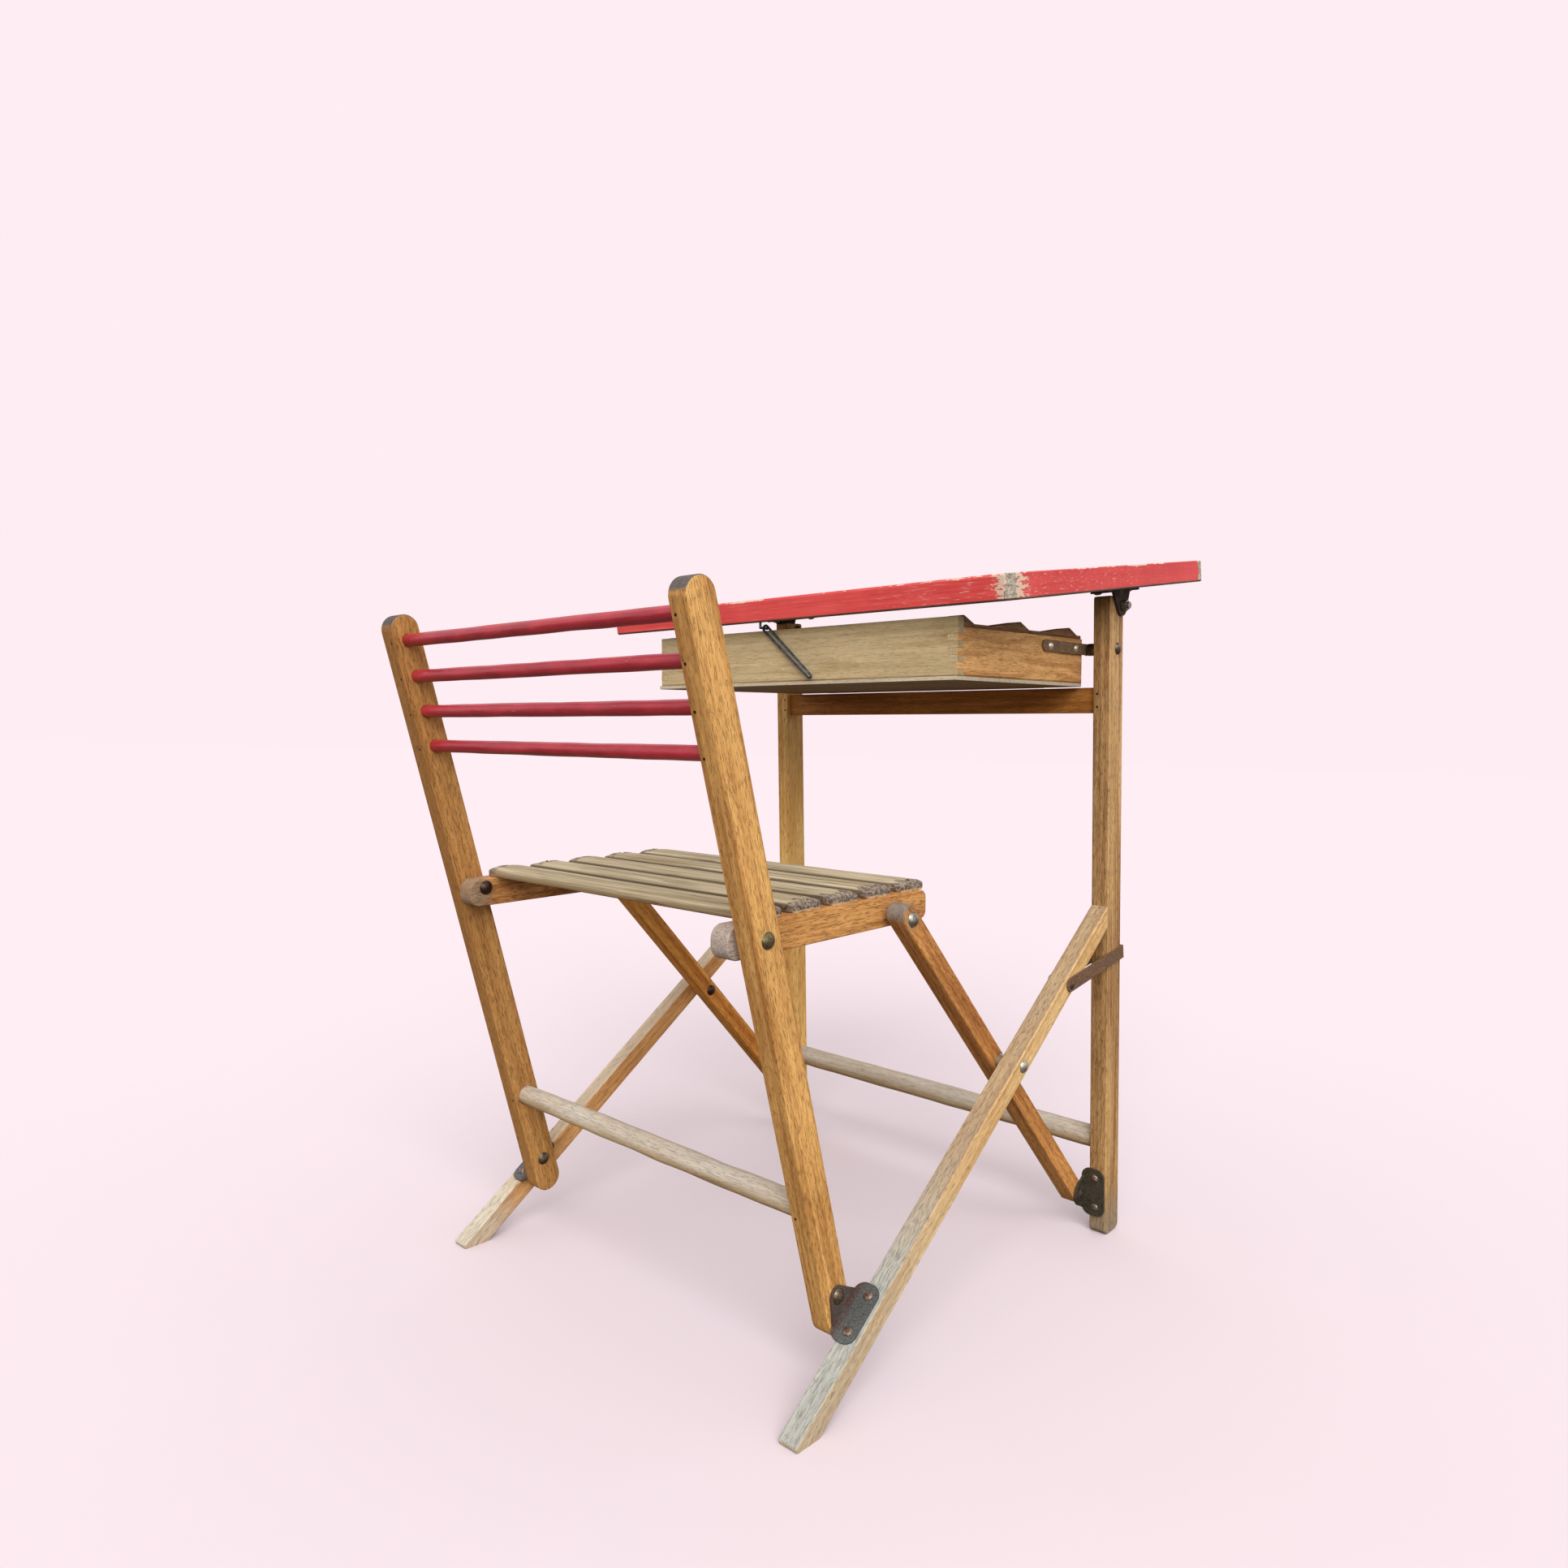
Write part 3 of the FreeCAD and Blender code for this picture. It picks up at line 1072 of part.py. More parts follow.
os.makedirs("parts", exist_ok=True)
for piece in pieces:
    piece.Shape.exportStep(os.path.join("parts", f"{piece.Label}.step"))

for name, point in (("scissor", scissor), ("back", back_pivot), ("seat_rear", seat_rear),
                    ("seat_front", seat_front), ("leg", leg_pivot), ("bail", bail_pivot),
                    ("box", box_pivot), ("top", top_hinge), ("stay", (stay_pivot_y, stay_pivot_z))):
    print(f"pivot {name} y {point[0] + shift.y:.3f} z {point[1] + shift.z:.3f}")
print(f"pieces {len(pieces)}")
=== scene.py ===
import json
import math
import bmesh
import bpy
from mathutils import Matrix, Vector, noise


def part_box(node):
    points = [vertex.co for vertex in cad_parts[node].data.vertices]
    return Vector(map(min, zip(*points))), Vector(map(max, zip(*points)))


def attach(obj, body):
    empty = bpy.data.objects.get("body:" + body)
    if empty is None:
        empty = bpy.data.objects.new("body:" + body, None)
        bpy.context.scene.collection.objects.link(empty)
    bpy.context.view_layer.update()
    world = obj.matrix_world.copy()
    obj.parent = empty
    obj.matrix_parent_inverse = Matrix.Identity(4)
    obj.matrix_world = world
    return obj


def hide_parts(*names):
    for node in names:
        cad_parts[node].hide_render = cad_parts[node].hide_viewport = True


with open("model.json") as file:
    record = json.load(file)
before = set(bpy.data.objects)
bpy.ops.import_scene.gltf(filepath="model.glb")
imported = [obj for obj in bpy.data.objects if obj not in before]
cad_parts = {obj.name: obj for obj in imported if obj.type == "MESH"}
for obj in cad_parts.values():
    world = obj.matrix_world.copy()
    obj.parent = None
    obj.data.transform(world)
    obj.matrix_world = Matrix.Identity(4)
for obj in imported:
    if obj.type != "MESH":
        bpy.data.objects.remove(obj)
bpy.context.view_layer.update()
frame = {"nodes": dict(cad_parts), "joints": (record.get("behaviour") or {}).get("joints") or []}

# Ground legs: two long oak diagonals that stand on the floor behind the seat, riveted to the braces.
# Planed bars under old honey varnish. The right one is stained on top and dusty grey towards its foot,
# the left one is bleached on top and worn only close to its foot.


class Socket:
    """One output in a finish's node tree. Arithmetic on it adds Math nodes."""

    def __init__(self, tree, output):
        self.tree = tree
        self.output = output

    def node(self, kind, settings, inputs, out=0):
        """Add a node, set it up, feed its sockets and wrap one of its outputs."""
        made = self.tree.nodes.new(kind)
        for name, value in settings.items():
            setattr(made, name, value)
        for name, value in inputs.items():
            if isinstance(value, Socket):
                self.tree.links.new(value.output, made.inputs[name])
            else:
                made.inputs[name].default_value = value
        return Socket(self.tree, made.outputs[out])

    def maths(self, operation, *values):
        """A Math node over these values."""
        return self.node("ShaderNodeMath", {"operation": operation}, dict(enumerate(values)))

    def __add__(self, other):
        return self.maths("ADD", self, other)

    def __sub__(self, other):
        return self.maths("SUBTRACT", self, other)

    def __rsub__(self, other):
        return self.maths("SUBTRACT", other, self)

    def __mul__(self, other):
        return self.maths("MULTIPLY", self, other)

    __radd__ = __add__
    __rmul__ = __mul__

    def least(self, other):
        return self.maths("MINIMUM", self, other)

    def most(self, other):
        return self.maths("MAXIMUM", self, other)

    def step(self, low, high):
        """0 below low, 1 above high and smooth between them."""
        return self.node("ShaderNodeMapRange", {"interpolation_type": "SMOOTHSTEP"},
                         {"Value": self, "From Min": low, "From Max": high})

    def noise(self, stretch, detail, roughness=0.55):
        """Cloudy noise on this vector, with its own frequency per metre along each axis."""
        scaled = self.node("ShaderNodeVectorMath", {"operation": "MULTIPLY"}, {0: self, 1: stretch})
        return self.node("ShaderNodeTexNoise", {},
                         {"Vector": scaled, "Scale": 1.0, "Detail": detail, "Roughness": roughness})

    def facing(self, direction):
        """How squarely this normal looks along a direction."""
        return self.node("ShaderNodeVectorMath", {"operation": "DOT_PRODUCT"}, {0: self, 1: direction}, 1)

    def part(self, axis):
        """One coordinate of this vector."""
        return self.node("ShaderNodeSeparateXYZ", {}, {0: self}, axis)

    def tint(self, colour, other, mode="MIX"):
        """A colour turned into another where this value is 1."""
        return self.node("ShaderNodeMix", {"data_type": "RGBA", "blend_type": mode},
                         {0: self, 6: colour, 7: other}, 2)


class Finish:
    """A new material with its shader, its place on the object and its normal at hand."""

    def __init__(self, name):
        self.material = bpy.data.materials.new(name)
        self.material.use_nodes = True
        self.tree = self.material.node_tree
        self.shader = self.tree.nodes["Principled BSDF"]
        spot = self.tree.nodes.new("ShaderNodeTexCoord")
        self.place = Socket(self.tree, spot.outputs["Object"])
        self.normal = Socket(self.tree, spot.outputs["Normal"])

    def feed(self, **sockets):
        """Link or set the shader's own sockets, named with underscores for spaces."""
        for name, value in sockets.items():
            socket = self.shader.inputs[name.replace("_", " ")]
            if isinstance(value, Socket):
                self.tree.links.new(value.output, socket)
            else:
                socket.default_value = value

    def rough_up(self, height, distance):
        """Raise the surface by a height pattern."""
        self.feed(Normal=height.node("ShaderNodeBump", {}, {"Height": height, "Distance": distance}))


def paint(red, green, blue):
    """A screen colour from 0 to 255 as the linear colour that a shader takes."""
    linear = []
    for level in (red / 255, green / 255, blue / 255):
        linear.append(level / 12.92 if level <= 0.04045 else ((level + 0.055) / 1.055) ** 2.4)
    return (*linear, 1.0)


ALONG_X = (0, -math.pi / 2, 0)
FIBRE_BROWN = (0.66, 0.55, 0.42, 1)
STAIN_AND_SHADE_BROWN = (0.5, 0.43, 0.36, 1)
DUSTY_PORE = (120, 106, 90)
GRAIN_RELIEF = 0.0006


def side_turn(direction):
    """The turn that brings a side-view direction, in degrees from +Y towards +Z, upright."""
    return (math.radians(90 - direction), 0, 0)


def oak(name, turn, pale, deep, pore, worn=None, grey=None, figure=0.0, stain_and_shade=None, pore_depth=0.4):
    """Open-pored oak whose grain runs along the turned upright.

    The worn mask bleaches it to grey, the darkening mask darkens it, with stains and on some pieces with
    painted shade, and the figure adds wavy rings.
    """
    finish = Finish(name)
    grain = finish.place.node("ShaderNodeMapping", {}, {"Vector": finish.place, "Rotation": turn})
    broad = grain.noise((34, 34, 7), 4)
    streak = grain.noise((240, 240, 7), 5)
    fibre = grain.noise((1300, 1300, 60), 4)
    pores = grain.noise((1400, 1400, 150), 3).step(0.54, 0.67)
    fleck = grain.noise((460, 460, 70), 3).step(0.58, 0.7)
    blotch = grain.noise((60, 60, 16), 5)
    tone = broad * 0.45 + streak * 0.55
    if figure:
        rings = grain.maths("SINE", (grain.part(1) + broad * 0.06) * 560)
        tone = tone + rings * figure
    colour = tone.step(0.37, 0.63).tint(paint(*deep), paint(*pale))
    colour = (fibre.step(0.4, 0.65) * 0.46).tint(colour, FIBRE_BROWN, "MULTIPLY")
    colour = (fleck * 0.3).tint(colour, paint(*[min(255, level * 1.1) for level in pale]))
    colour = (pores * pore_depth).tint(colour, paint(*pore))
    rough = 0.66 - streak * 0.16
    if stain_and_shade:
        colour = stain_and_shade(grain, finish.normal, blotch).tint(colour, STAIN_AND_SHADE_BROWN, "MULTIPLY")
    if worn:
        mask = worn(grain, finish.normal, blotch)
        shade = [level * 0.86 for level in grey]
        dust = (fibre * 0.6 + streak * 0.4).step(0.35, 0.65).tint(paint(*shade), paint(*grey))
        dust = (pores * 0.3).tint(dust, paint(*DUSTY_PORE))
        colour = mask.tint(colour, dust)
        rough = rough + mask * 0.2
    finish.feed(Base_Color=colour, Roughness=rough, Specular_IOR_Level=0.25)
    finish.rough_up(fibre * 0.35 - pores * (pore_depth * 1.6) + streak * 0.25, GRAIN_RELIEF)
    return finish.material


def dress(material, *nodes):
    """Give CAD nodes this finish."""
    for node in nodes:
        piece = frame["nodes"][node]
        piece.data.materials.clear()
        piece.data.materials.append(material)


GROUND_SLOPE = 36.4
ground_up = (0, -math.sin(math.radians(GROUND_SLOPE)), math.cos(math.radians(GROUND_SLOPE)))


def ground_wear(grain, normal, blotch):
    """Dusty towards the foot, most on the upper face."""
    low = 1 - (grain.part(2) + blotch * 0.12).step(-0.1, 0.16)
    top = normal.facing(ground_up).step(0.5, 0.95)
    return (top * (blotch * 0.3 + 0.12) + low * (0.5 + top * 0.45)).least(0.95)


def ground_stain(grain, normal, blotch):
    """Brown on the upper face."""
    return normal.facing(ground_up).step(0.5, 0.95) * 0.6


def bleached_wear(grain, normal, blotch):
    """Pale on the upper face and close to the foot."""
    low = 1 - (grain.part(2) + blotch * 0.05).step(-0.14, -0.08)
    top = normal.facing(ground_up).step(0.5, 0.95)
    return (top * (blotch * 0.5 + 0.45) + low * 0.7).least(0.95)


GROUND_PORE = (150, 108, 66)
right_ground_oak = oak("right_ground_leg_oak", side_turn(GROUND_SLOPE), (255, 218, 158), (222, 174, 114),
                       GROUND_PORE, worn=ground_wear, grey=(191, 192, 184), stain_and_shade=ground_stain)
left_ground_oak = oak("left_ground_leg_oak", side_turn(GROUND_SLOPE), (242, 182, 118), (204, 144, 86),
                      GROUND_PORE, worn=bleached_wear, grey=(230, 218, 196))
dress(right_ground_oak, "right_ground_leg")
dress(left_ground_oak, "left_ground_leg")

# Post brackets: pressed steel angles screwed on top of the ground legs, whose lugs hold the feet of the
# back posts. The grey-green plating has gone brown with rust in patches and the edges are eased.


def plate_steel(name, plating, rust, rusted, bend=None):
    """Old plated sheet steel, with rust in patches and along a bend that lies at this |x|."""
    finish = Finish(name)
    patch = finish.place.noise((90, 90, 90), 6, 0.65)
    fine = finish.place.noise((900, 900, 900), 4)
    mask = (patch * 0.7 + fine * 0.3).step(0.62 - rusted * 0.3, 0.78 - rusted * 0.3)
    if bend:
        x = finish.place.part(0)
        past_bend = x.maths("ABSOLUTE", x) - bend + (patch - 0.5) * 0.012
        mask = mask * 0.3 + (1 - past_bend.step(0.002, 0.009)) * 0.75
    steel = fine.step(0.3, 0.7).tint(paint(*[level * 0.72 for level in plating]), paint(*plating))
    brown = fine.step(0.35, 0.65).tint(paint(*[level * 0.6 for level in rust]), paint(*rust))
    finish.feed(Base_Color=mask.tint(steel, brown), Metallic=0.75 - mask * 0.7,
                Roughness=0.42 + mask * 0.35 + fine * 0.1)
    finish.rough_up(fine + mask * patch, distance=0.0003)
    return finish.material


WELD_WITHIN = 0.000005
FLAT_WITHIN = math.radians(1)
SHARP_FROM = math.radians(35)
EASE_FROM = math.radians(50)
EASE_STEPS = 3


def stand_in(name, mesh, body, node):
    """A new piece on a body, in place of a CAD node."""
    piece = bpy.data.objects.new(name, mesh)
    bpy.context.scene.collection.objects.link(piece)
    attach(piece, body)
    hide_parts(node)
    return piece


def eased(node, body, material, radius):
    """Stand a copy with rounded edges in for a sharp-edged CAD node."""
    mesh = frame["nodes"][node].data.copy()
    shape = bmesh.new()
    shape.from_mesh(mesh)
    bmesh.ops.remove_doubles(shape, verts=shape.verts, dist=WELD_WITHIN)
    bmesh.ops.dissolve_limit(shape, angle_limit=FLAT_WITHIN, verts=shape.verts, edges=shape.edges)
    shape.to_mesh(mesh)
    shape.free()
    mesh.shade_smooth()
    mesh.set_sharp_from_angle(angle=SHARP_FROM)
    mesh.materials.clear()
    mesh.materials.append(material)
    piece = stand_in(f"{node}_eased", mesh, body, node)
    bevel = piece.modifiers.new("eased_edges", "BEVEL")
    bevel.width = radius
    bevel.segments = EASE_STEPS
    bevel.limit_method = "ANGLE"
    bevel.angle_limit = EASE_FROM
    return piece


BRACKET_BEND = 0.1785
PLATE_EDGE = 0.0005
bracket_steel = plate_steel("bracket_steel", (122, 132, 130), (96, 70, 62), rusted=0.6, bend=BRACKET_BEND)
for side in ("left", "right"):
    eased(f"{side}_post_bracket", "ground_legs", bracket_steel, PLATE_EDGE)

# Bracket screws: round-headed slotted steel screws, two through each bracket, rubbed bright in spots.
# One head is turned and slotted here, then set on its places with a turn of its own.
SCREW_HEAD = 0.0035
SCREW_DOME = 0.0014
SLOT_HALF = 0.00045
SLOT_DEEP = 0.0008
SLOT_FLOOR = 0.0001
HEAD_RINGS = 6
HEAD_CORNERS = 24


def bridge(shape, rings):
    """Join each ring of points to the next one with a band of faces."""
    for ring, beyond in zip(rings, rings[1:]):
        for corner in range(len(ring)):
            following = (corner + 1) % len(ring)
            shape.faces.new((ring[corner], ring[following], beyond[following], beyond[corner]))


def smooth_mesh(name, shape):
    """Close a shape that is ready into a smooth-shaded mesh."""
    bmesh.ops.recalc_face_normals(shape, faces=shape.faces[:])
    mesh = bpy.data.meshes.new(name)
    shape.to_mesh(mesh)
    shape.free()
    mesh.shade_smooth()
    return mesh


def screw_head():
    """A domed disc with a slot across it, standing on its underside at the origin."""
    shape = bmesh.new()
    rings = []
    for ring in range(HEAD_RINGS):
        lean = math.pi / 2 * ring / HEAD_RINGS
        flat = SCREW_HEAD * math.cos(lean)
        rise = SCREW_DOME * math.sin(lean)
        circle = []
        for corner in range(HEAD_CORNERS):
            angle = math.tau * corner / HEAD_CORNERS
            circle.append(shape.verts.new((flat * math.cos(angle), flat * math.sin(angle), rise)))
        rings.append(circle)
    bridge(shape, rings)
    crown = shape.verts.new((0, 0, SCREW_DOME))
    for corner in range(HEAD_CORNERS):
        shape.faces.new((rings[-1][corner], rings[-1][(corner + 1) % HEAD_CORNERS], crown))
    shape.faces.new(list(reversed(rings[0])))
    for offset in (-SLOT_HALF, SLOT_HALF):
        everything = shape.verts[:] + shape.edges[:] + shape.faces[:]
        bmesh.ops.bisect_plane(shape, geom=everything, plane_co=(0, offset, 0), plane_no=(0, 1, 0))
    slot = []
    for face in shape.faces:
        middle = face.calc_center_median()
        if abs(middle.y) < SLOT_HALF and middle.z > SCREW_DOME * 0.3:
            slot.append(face)
    sunk = bmesh.ops.extrude_face_region(shape, geom=slot)
    for vert in [item for item in sunk["geom"] if isinstance(item, bmesh.types.BMVert)]:
        vert.co.z = max(vert.co.z - SLOT_DEEP, SLOT_FLOOR)
    mesh = smooth_mesh("screw_head", shape)
    mesh.set_sharp_from_angle(angle=SHARP_FROM)
    return bpy.data.objects.new("screw_head", mesh)


def screw_tree():
    """Sets a head on every point, upright on its facing, each with its own turn."""
    tree = bpy.data.node_groups.new("screws_on_places", "GeometryNodeTree")
    face = tree.interface
    sockets = {}
    for name, kind in (("Places", "NodeSocketGeometry"), ("Head", "NodeSocketObject"),
                       ("Turn Seed", "NodeSocketInt"), ("Finish", "NodeSocketMaterial")):
        sockets[name] = face.new_socket(name, in_out="INPUT", socket_type=kind)
    face.new_socket("Screws", in_out="OUTPUT", socket_type="NodeSocketGeometry")

    def add(kind, **settings):
        made = tree.nodes.new(kind)
        for name, value in settings.items():
            setattr(made, name, value)
        return made

    inside = add("NodeGroupInput")
    head = add("GeometryNodeObjectInfo")
    facing = add("GeometryNodeInputNamedAttribute", data_type="FLOAT_VECTOR")
    facing.inputs["Name"].default_value = "facing"
    upright = add("FunctionNodeAlignRotationToVector", axis="Z")
    chance = add("FunctionNodeRandomValue", data_type="FLOAT")
    chance.inputs[3].default_value = math.tau
    spin = add("ShaderNodeCombineXYZ")
    euler = add("FunctionNodeEulerToRotation")
    turned = add("FunctionNodeRotateRotation", rotation_space="LOCAL")
    placed = add("GeometryNodeInstanceOnPoints")
    real = add("GeometryNodeRealizeInstances")
    finished = add("GeometryNodeSetMaterial")
    outside = add("NodeGroupOutput")
    links = (
        (inside.outputs["Places"], placed.inputs["Points"]),
        (inside.outputs["Head"], head.inputs["Object"]),
        (head.outputs["Geometry"], placed.inputs["Instance"]),
        (facing.outputs[0], upright.inputs["Vector"]),
        (inside.outputs["Turn Seed"], chance.inputs["Seed"]),
        (chance.outputs[1], spin.inputs["Z"]),
        (spin.outputs[0], euler.inputs[0]),
        (upright.outputs[0], turned.inputs[0]),
        (euler.outputs[0], turned.inputs[1]),
        (turned.outputs[0], placed.inputs["Rotation"]),
        (placed.outputs[0], real.inputs[0]),
        (real.outputs[0], finished.inputs["Geometry"]),
        (inside.outputs["Finish"], finished.inputs["Material"]),
        (finished.outputs[0], outside.inputs[0]))
    for start, end in links:
        tree.links.new(start, end)
    return tree, {name: socket.identifier for name, socket in sockets.items()}


slotted_head = screw_head()
screw_setting, screw_inputs = screw_tree()


def set_screws(name, body, places, node, seed, material):
    """Screws at (point, facing) places, as one mesh that stands for a CAD node."""
    points = bpy.data.meshes.new(f"{name}_places")
    points.from_pydata([point for point, _ in places], [], [])
    facing = points.attributes.new("facing", "FLOAT_VECTOR", "POINT")
    for index, (_, direction) in enumerate(places):
        facing.data[index].vector = direction
    carrier = bpy.data.objects.new(f"{name}_carrier", points)
    bpy.context.scene.collection.objects.link(carrier)
    setting = carrier.modifiers.new("screws", "NODES")
    setting.node_group = screw_setting
    setting[screw_inputs["Head"]] = slotted_head
    setting[screw_inputs["Turn Seed"]] = seed
    setting[screw_inputs["Finish"]] = material
    bpy.context.view_layer.update()
    shown = carrier.evaluated_get(bpy.context.evaluated_depsgraph_get())
    mesh = bpy.data.meshes.new_from_object(shown)
    carrier.modifiers.remove(setting)
    bpy.data.objects.remove(carrier)
    stand_in(name, mesh, body, node)


def head_steel(name, bright, dull, worn, rusted_inside=None):
    """Turned steel of rivet, bolt and screw heads: a dull film, rubbed bright in spots.

    Heads nearer the middle of the desk than rusted_inside are brown.
    """
    finish = Finish(name)
    patch = finish.place.noise((260, 260, 260), 5, 0.6)
    fine = finish.place.noise((1800, 1800, 1800), 3)
    mask = (patch * 0.6 + fine * 0.4).step(0.6 - worn * 0.3, 0.75 - worn * 0.3)
    colour = mask.tint(paint(*dull), paint(*bright))
    if rusted_inside:
        x = finish.place.part(0)
        outside = x.maths("ABSOLUTE", x).step(rusted_inside - 0.001, rusted_inside)
        colour = outside.tint(fine.step(0.4, 0.7).tint(paint(52, 38, 32), paint(96, 76, 66)), colour)
    finish.feed(Base_Color=colour, Metallic=0.85, Roughness=0.5 - mask * 0.18)
    finish.rough_up(fine + patch * 0.5, distance=0.00015)
    return finish.material


pivots = {}
for joint in frame["joints"]:
    pivots[joint["name"]] = Vector(joint["pos_m"])


def beside(pivot, direction, along, rise, x):
    """A point at x, given along a side-view direction from a pivot and square to it."""
    angle = math.radians(direction)
    start = pivots[pivot]
    return (x, start.y + along * math.cos(angle) - rise * math.sin(angle),
            start.z + along * math.sin(angle) + rise * math.cos(angle))


screw_steel = head_steel("screw_steel", (192, 174, 154), (118, 100, 86), worn=0.5)
SCREW_FROM_SCISSOR = (-0.248, -0.221)
SCREW_RISE = 0.0105
SCREW_X = 0.190
POST_SCREW_SEED = 3
post_screws = []
for sign in (-1, 1):
    for along in SCREW_FROM_SCISSOR:
        post_screws.append((beside("fold", GROUND_SLOPE, along, SCREW_RISE, sign * SCREW_X), ground_up))
set_screws("post_bracket_slotted_screws", "ground_legs", post_screws, "post_bracket_screws",
           POST_SCREW_SEED, screw_steel)

# Pivot rivets: domed steel rivets through the brackets, the scissor crossing, the bails and the straps.
# Turned steel under a dull film. Those at the scissor crossing are bright outside and rusted inside.
SCISSOR_INSIDE = 0.176
rivet_steel = head_steel("rivet_steel", (150, 138, 114), (88, 74, 56), worn=0.4)
bright_rivet = head_steel("scissor_rivet_steel", (196, 194, 176), (130, 124, 102), worn=0.8,
                          rusted_inside=SCISSOR_INSIDE)
dress(rivet_steel, "post_pivot_rivets", "leg_pivot_rivets", "bail_rivets", "strap_pivot_rivets")
dress(bright_rivet, "scissor_rivets")

# Front braces: shorter oak diagonals from the front of the seat down to the desk legs' feet.
# Redder than the ground legs they are riveted to, with painted shade below and dark dirt at the foot.
# The round upper ends are rubbed grey by the sitter.
BRACE_DIRECTION = 134.4
BRACE_EDGE = 0.002
BRACE_PORE = (108, 64, 26)
brace_back = (0, -math.sin(math.radians(BRACE_DIRECTION)), math.cos(math.radians(BRACE_DIRECTION)))
rubbed_way = (0.25, -0.75, 0.6)


def brace_wear(grain, normal, blotch):
    """Grey on the upper end, where it faces the sitter."""
    rubbed = normal.facing(rubbed_way).step(0.1, 0.6)
    return (grain.part(2) + blotch * 0.02).step(0.287, 0.296) * rubbed * 0.95


def brace_shade_and_dirt(grain, normal, blotch):
    """Painted shade on the underside, and dark dirt at the foot."""
    below = (0 - normal.facing(brace_back)).step(0.5, 0.95) * 0.95
    foot = 1 - (grain.part(2) + blotch * 0.012).step(-0.113, -0.1)
    return below.most(foot * 0.8)


for side, pale, deep in (("right", (232, 164, 94), (166, 104, 52)),
                         ("left", (252, 176, 84), (196, 118, 44))):
    brace_oak = oak(f"{side}_brace_oak", side_turn(BRACE_DIRECTION), pale, deep, BRACE_PORE,
                    worn=brace_wear, grey=(150, 138, 126), stain_and_shade=brace_shade_and_dirt)
    eased(f"{side}_front_brace", "braces", brace_oak, BRACE_EDGE)
bolt_steel = head_steel("seat_front_bolt_steel", (168, 166, 154), (96, 92, 82), worn=0.6)
dress(bolt_steel, "seat_front_bolts", "seat_front_bolt_ends")

# Back posts: tall oak bars with rounded ends, drilled for the rungs and pinned by nails from behind.
# Honey varnish, streaked with dark pores and dirtier behind. Their upper ends are grey end grain.
POST_DIRECTION = 106.81
POST_EDGE = 0.0025
POST_PORE = (128, 86, 44)
SEAT_BOLT_INSIDE = 0.165
post_end = (0, math.cos(math.radians(POST_DIRECTION)), math.sin(math.radians(POST_DIRECTION)))


def post_wear(grain, normal, blotch):
    """Grey on the upper end."""
    return (normal.facing(post_end) + blotch * 0.2).step(0.35, 0.7) * 0.95


def post_stain(grain, normal, blotch):
    """Dark behind and a little towards the foot."""
    low = 1 - (grain.part(2) + blotch * 0.2).step(0.08, 0.3)
    behind = (0 - normal.part(1)).step(0.5, 0.95)
    return behind * 0.3 + low * 0.1


def left_post_stain(grain, normal, blotch):
    """Darker all over than the right post, most towards the top."""
    high = (grain.part(2) + blotch * 0.1).step(0.1, 0.5)
    return post_stain(grain, normal, blotch) + high * 0.2 + 0.42


for side, pale, deep, stain_and_shade in (("right", (248, 192, 116), (192, 134, 72), post_stain),
                                ("left", (236, 178, 106), (204, 146, 82), left_post_stain)):
    post_oak = oak(f"{side}_post_oak", side_turn(POST_DIRECTION), pale, deep, POST_PORE,
                   worn=post_wear, grey=(98, 96, 98), stain_and_shade=stain_and_shade)
    eased(f"{side}_back_post", "chair_back", post_oak, POST_EDGE)
nail_steel = head_steel("nail_steel", (86, 74, 62), (44, 36, 30), worn=0.3)
dress(nail_steel, "rung_nails", "slat_nails", "crossbar_nails")
olive_bolt = head_steel("seat_rear_bolt_steel", (138, 130, 96), (92, 84, 58), worn=0.5,
                        rusted_inside=SEAT_BOLT_INSIDE)
dress(olive_bolt, "seat_rear_bolts")

# Back rungs: four turned dowels painted glossy raspberry red, let into the posts with a soft shoulder.
# Sleeves and bags have rubbed the paint thin along them.


def dowel(name, node, body, radius, material, neck, sway, seed):
    """A slightly uneven turned rod across the desk, in place of a plain CAD rod.

    Over the neck's length at each end it narrows to the neck's share of its radius.
    """
    low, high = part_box(node)
    centre = (low + high) / 2
    half = (high.x - low.x) / 2
    neck_length, neck_share = neck
    shape = bmesh.new()
    sides = 28
    steps = 96
    rings = []
    for index in range(steps + 1):
        x = -half + 2 * half * index / steps
        from_post = max(0.0, min(1.0, (half - abs(x)) / neck_length))
        girth = radius * (neck_share + (1 - neck_share) * from_post * (2 - from_post))
        drift = Vector((0, noise.noise((x * 9, seed, 0)), noise.noise((x * 9, seed, 7)))) * sway
        circle = []
        for corner in range(sides):
            angle = math.tau * corner / sides
            lump = noise.noise((x * 30, math.cos(angle) * 1.2 + seed, math.sin(angle) * 1.2)) * sway
            reach = girth + lump * from_post
            spoke = Vector((x, reach * math.cos(angle), reach * math.sin(angle)))
            circle.append(shape.verts.new(centre + drift * from_post + spoke))
        rings.append(circle)
    bridge(shape, rings)
    shape.faces.new(rings[0])
    shape.faces.new(rings[-1])
    mesh = smooth_mesh(name, shape)
    mesh.materials.append(material)
    stand_in(name, mesh, body, node)


def rung_paint():
    """Red paint, streaked along the rung and scuffed pale in spots."""
    finish = Finish("raspberry_rung_paint")
    streak = finish.place.noise((14, 500, 500), 5)
    cloud = finish.place.noise((40, 120, 120), 4)
    rub = finish.place.noise((90, 420, 420), 6, 0.7)
    colour = (cloud * 0.6 + streak * 0.4).step(0.3, 0.7).tint(paint(150, 26, 42), paint(188, 46, 60))
    scuff = rub.step(0.6, 0.72) * 0.5
    colour = scuff.tint(colour, paint(208, 112, 110))
    finish.feed(Base_Color=colour, Roughness=0.3 + cloud * 0.1 + scuff * 0.3, Specular_IOR_Level=0.55)
    finish.rough_up(streak * 0.6 + rub * 0.3, distance=0.0003)
    return finish.material


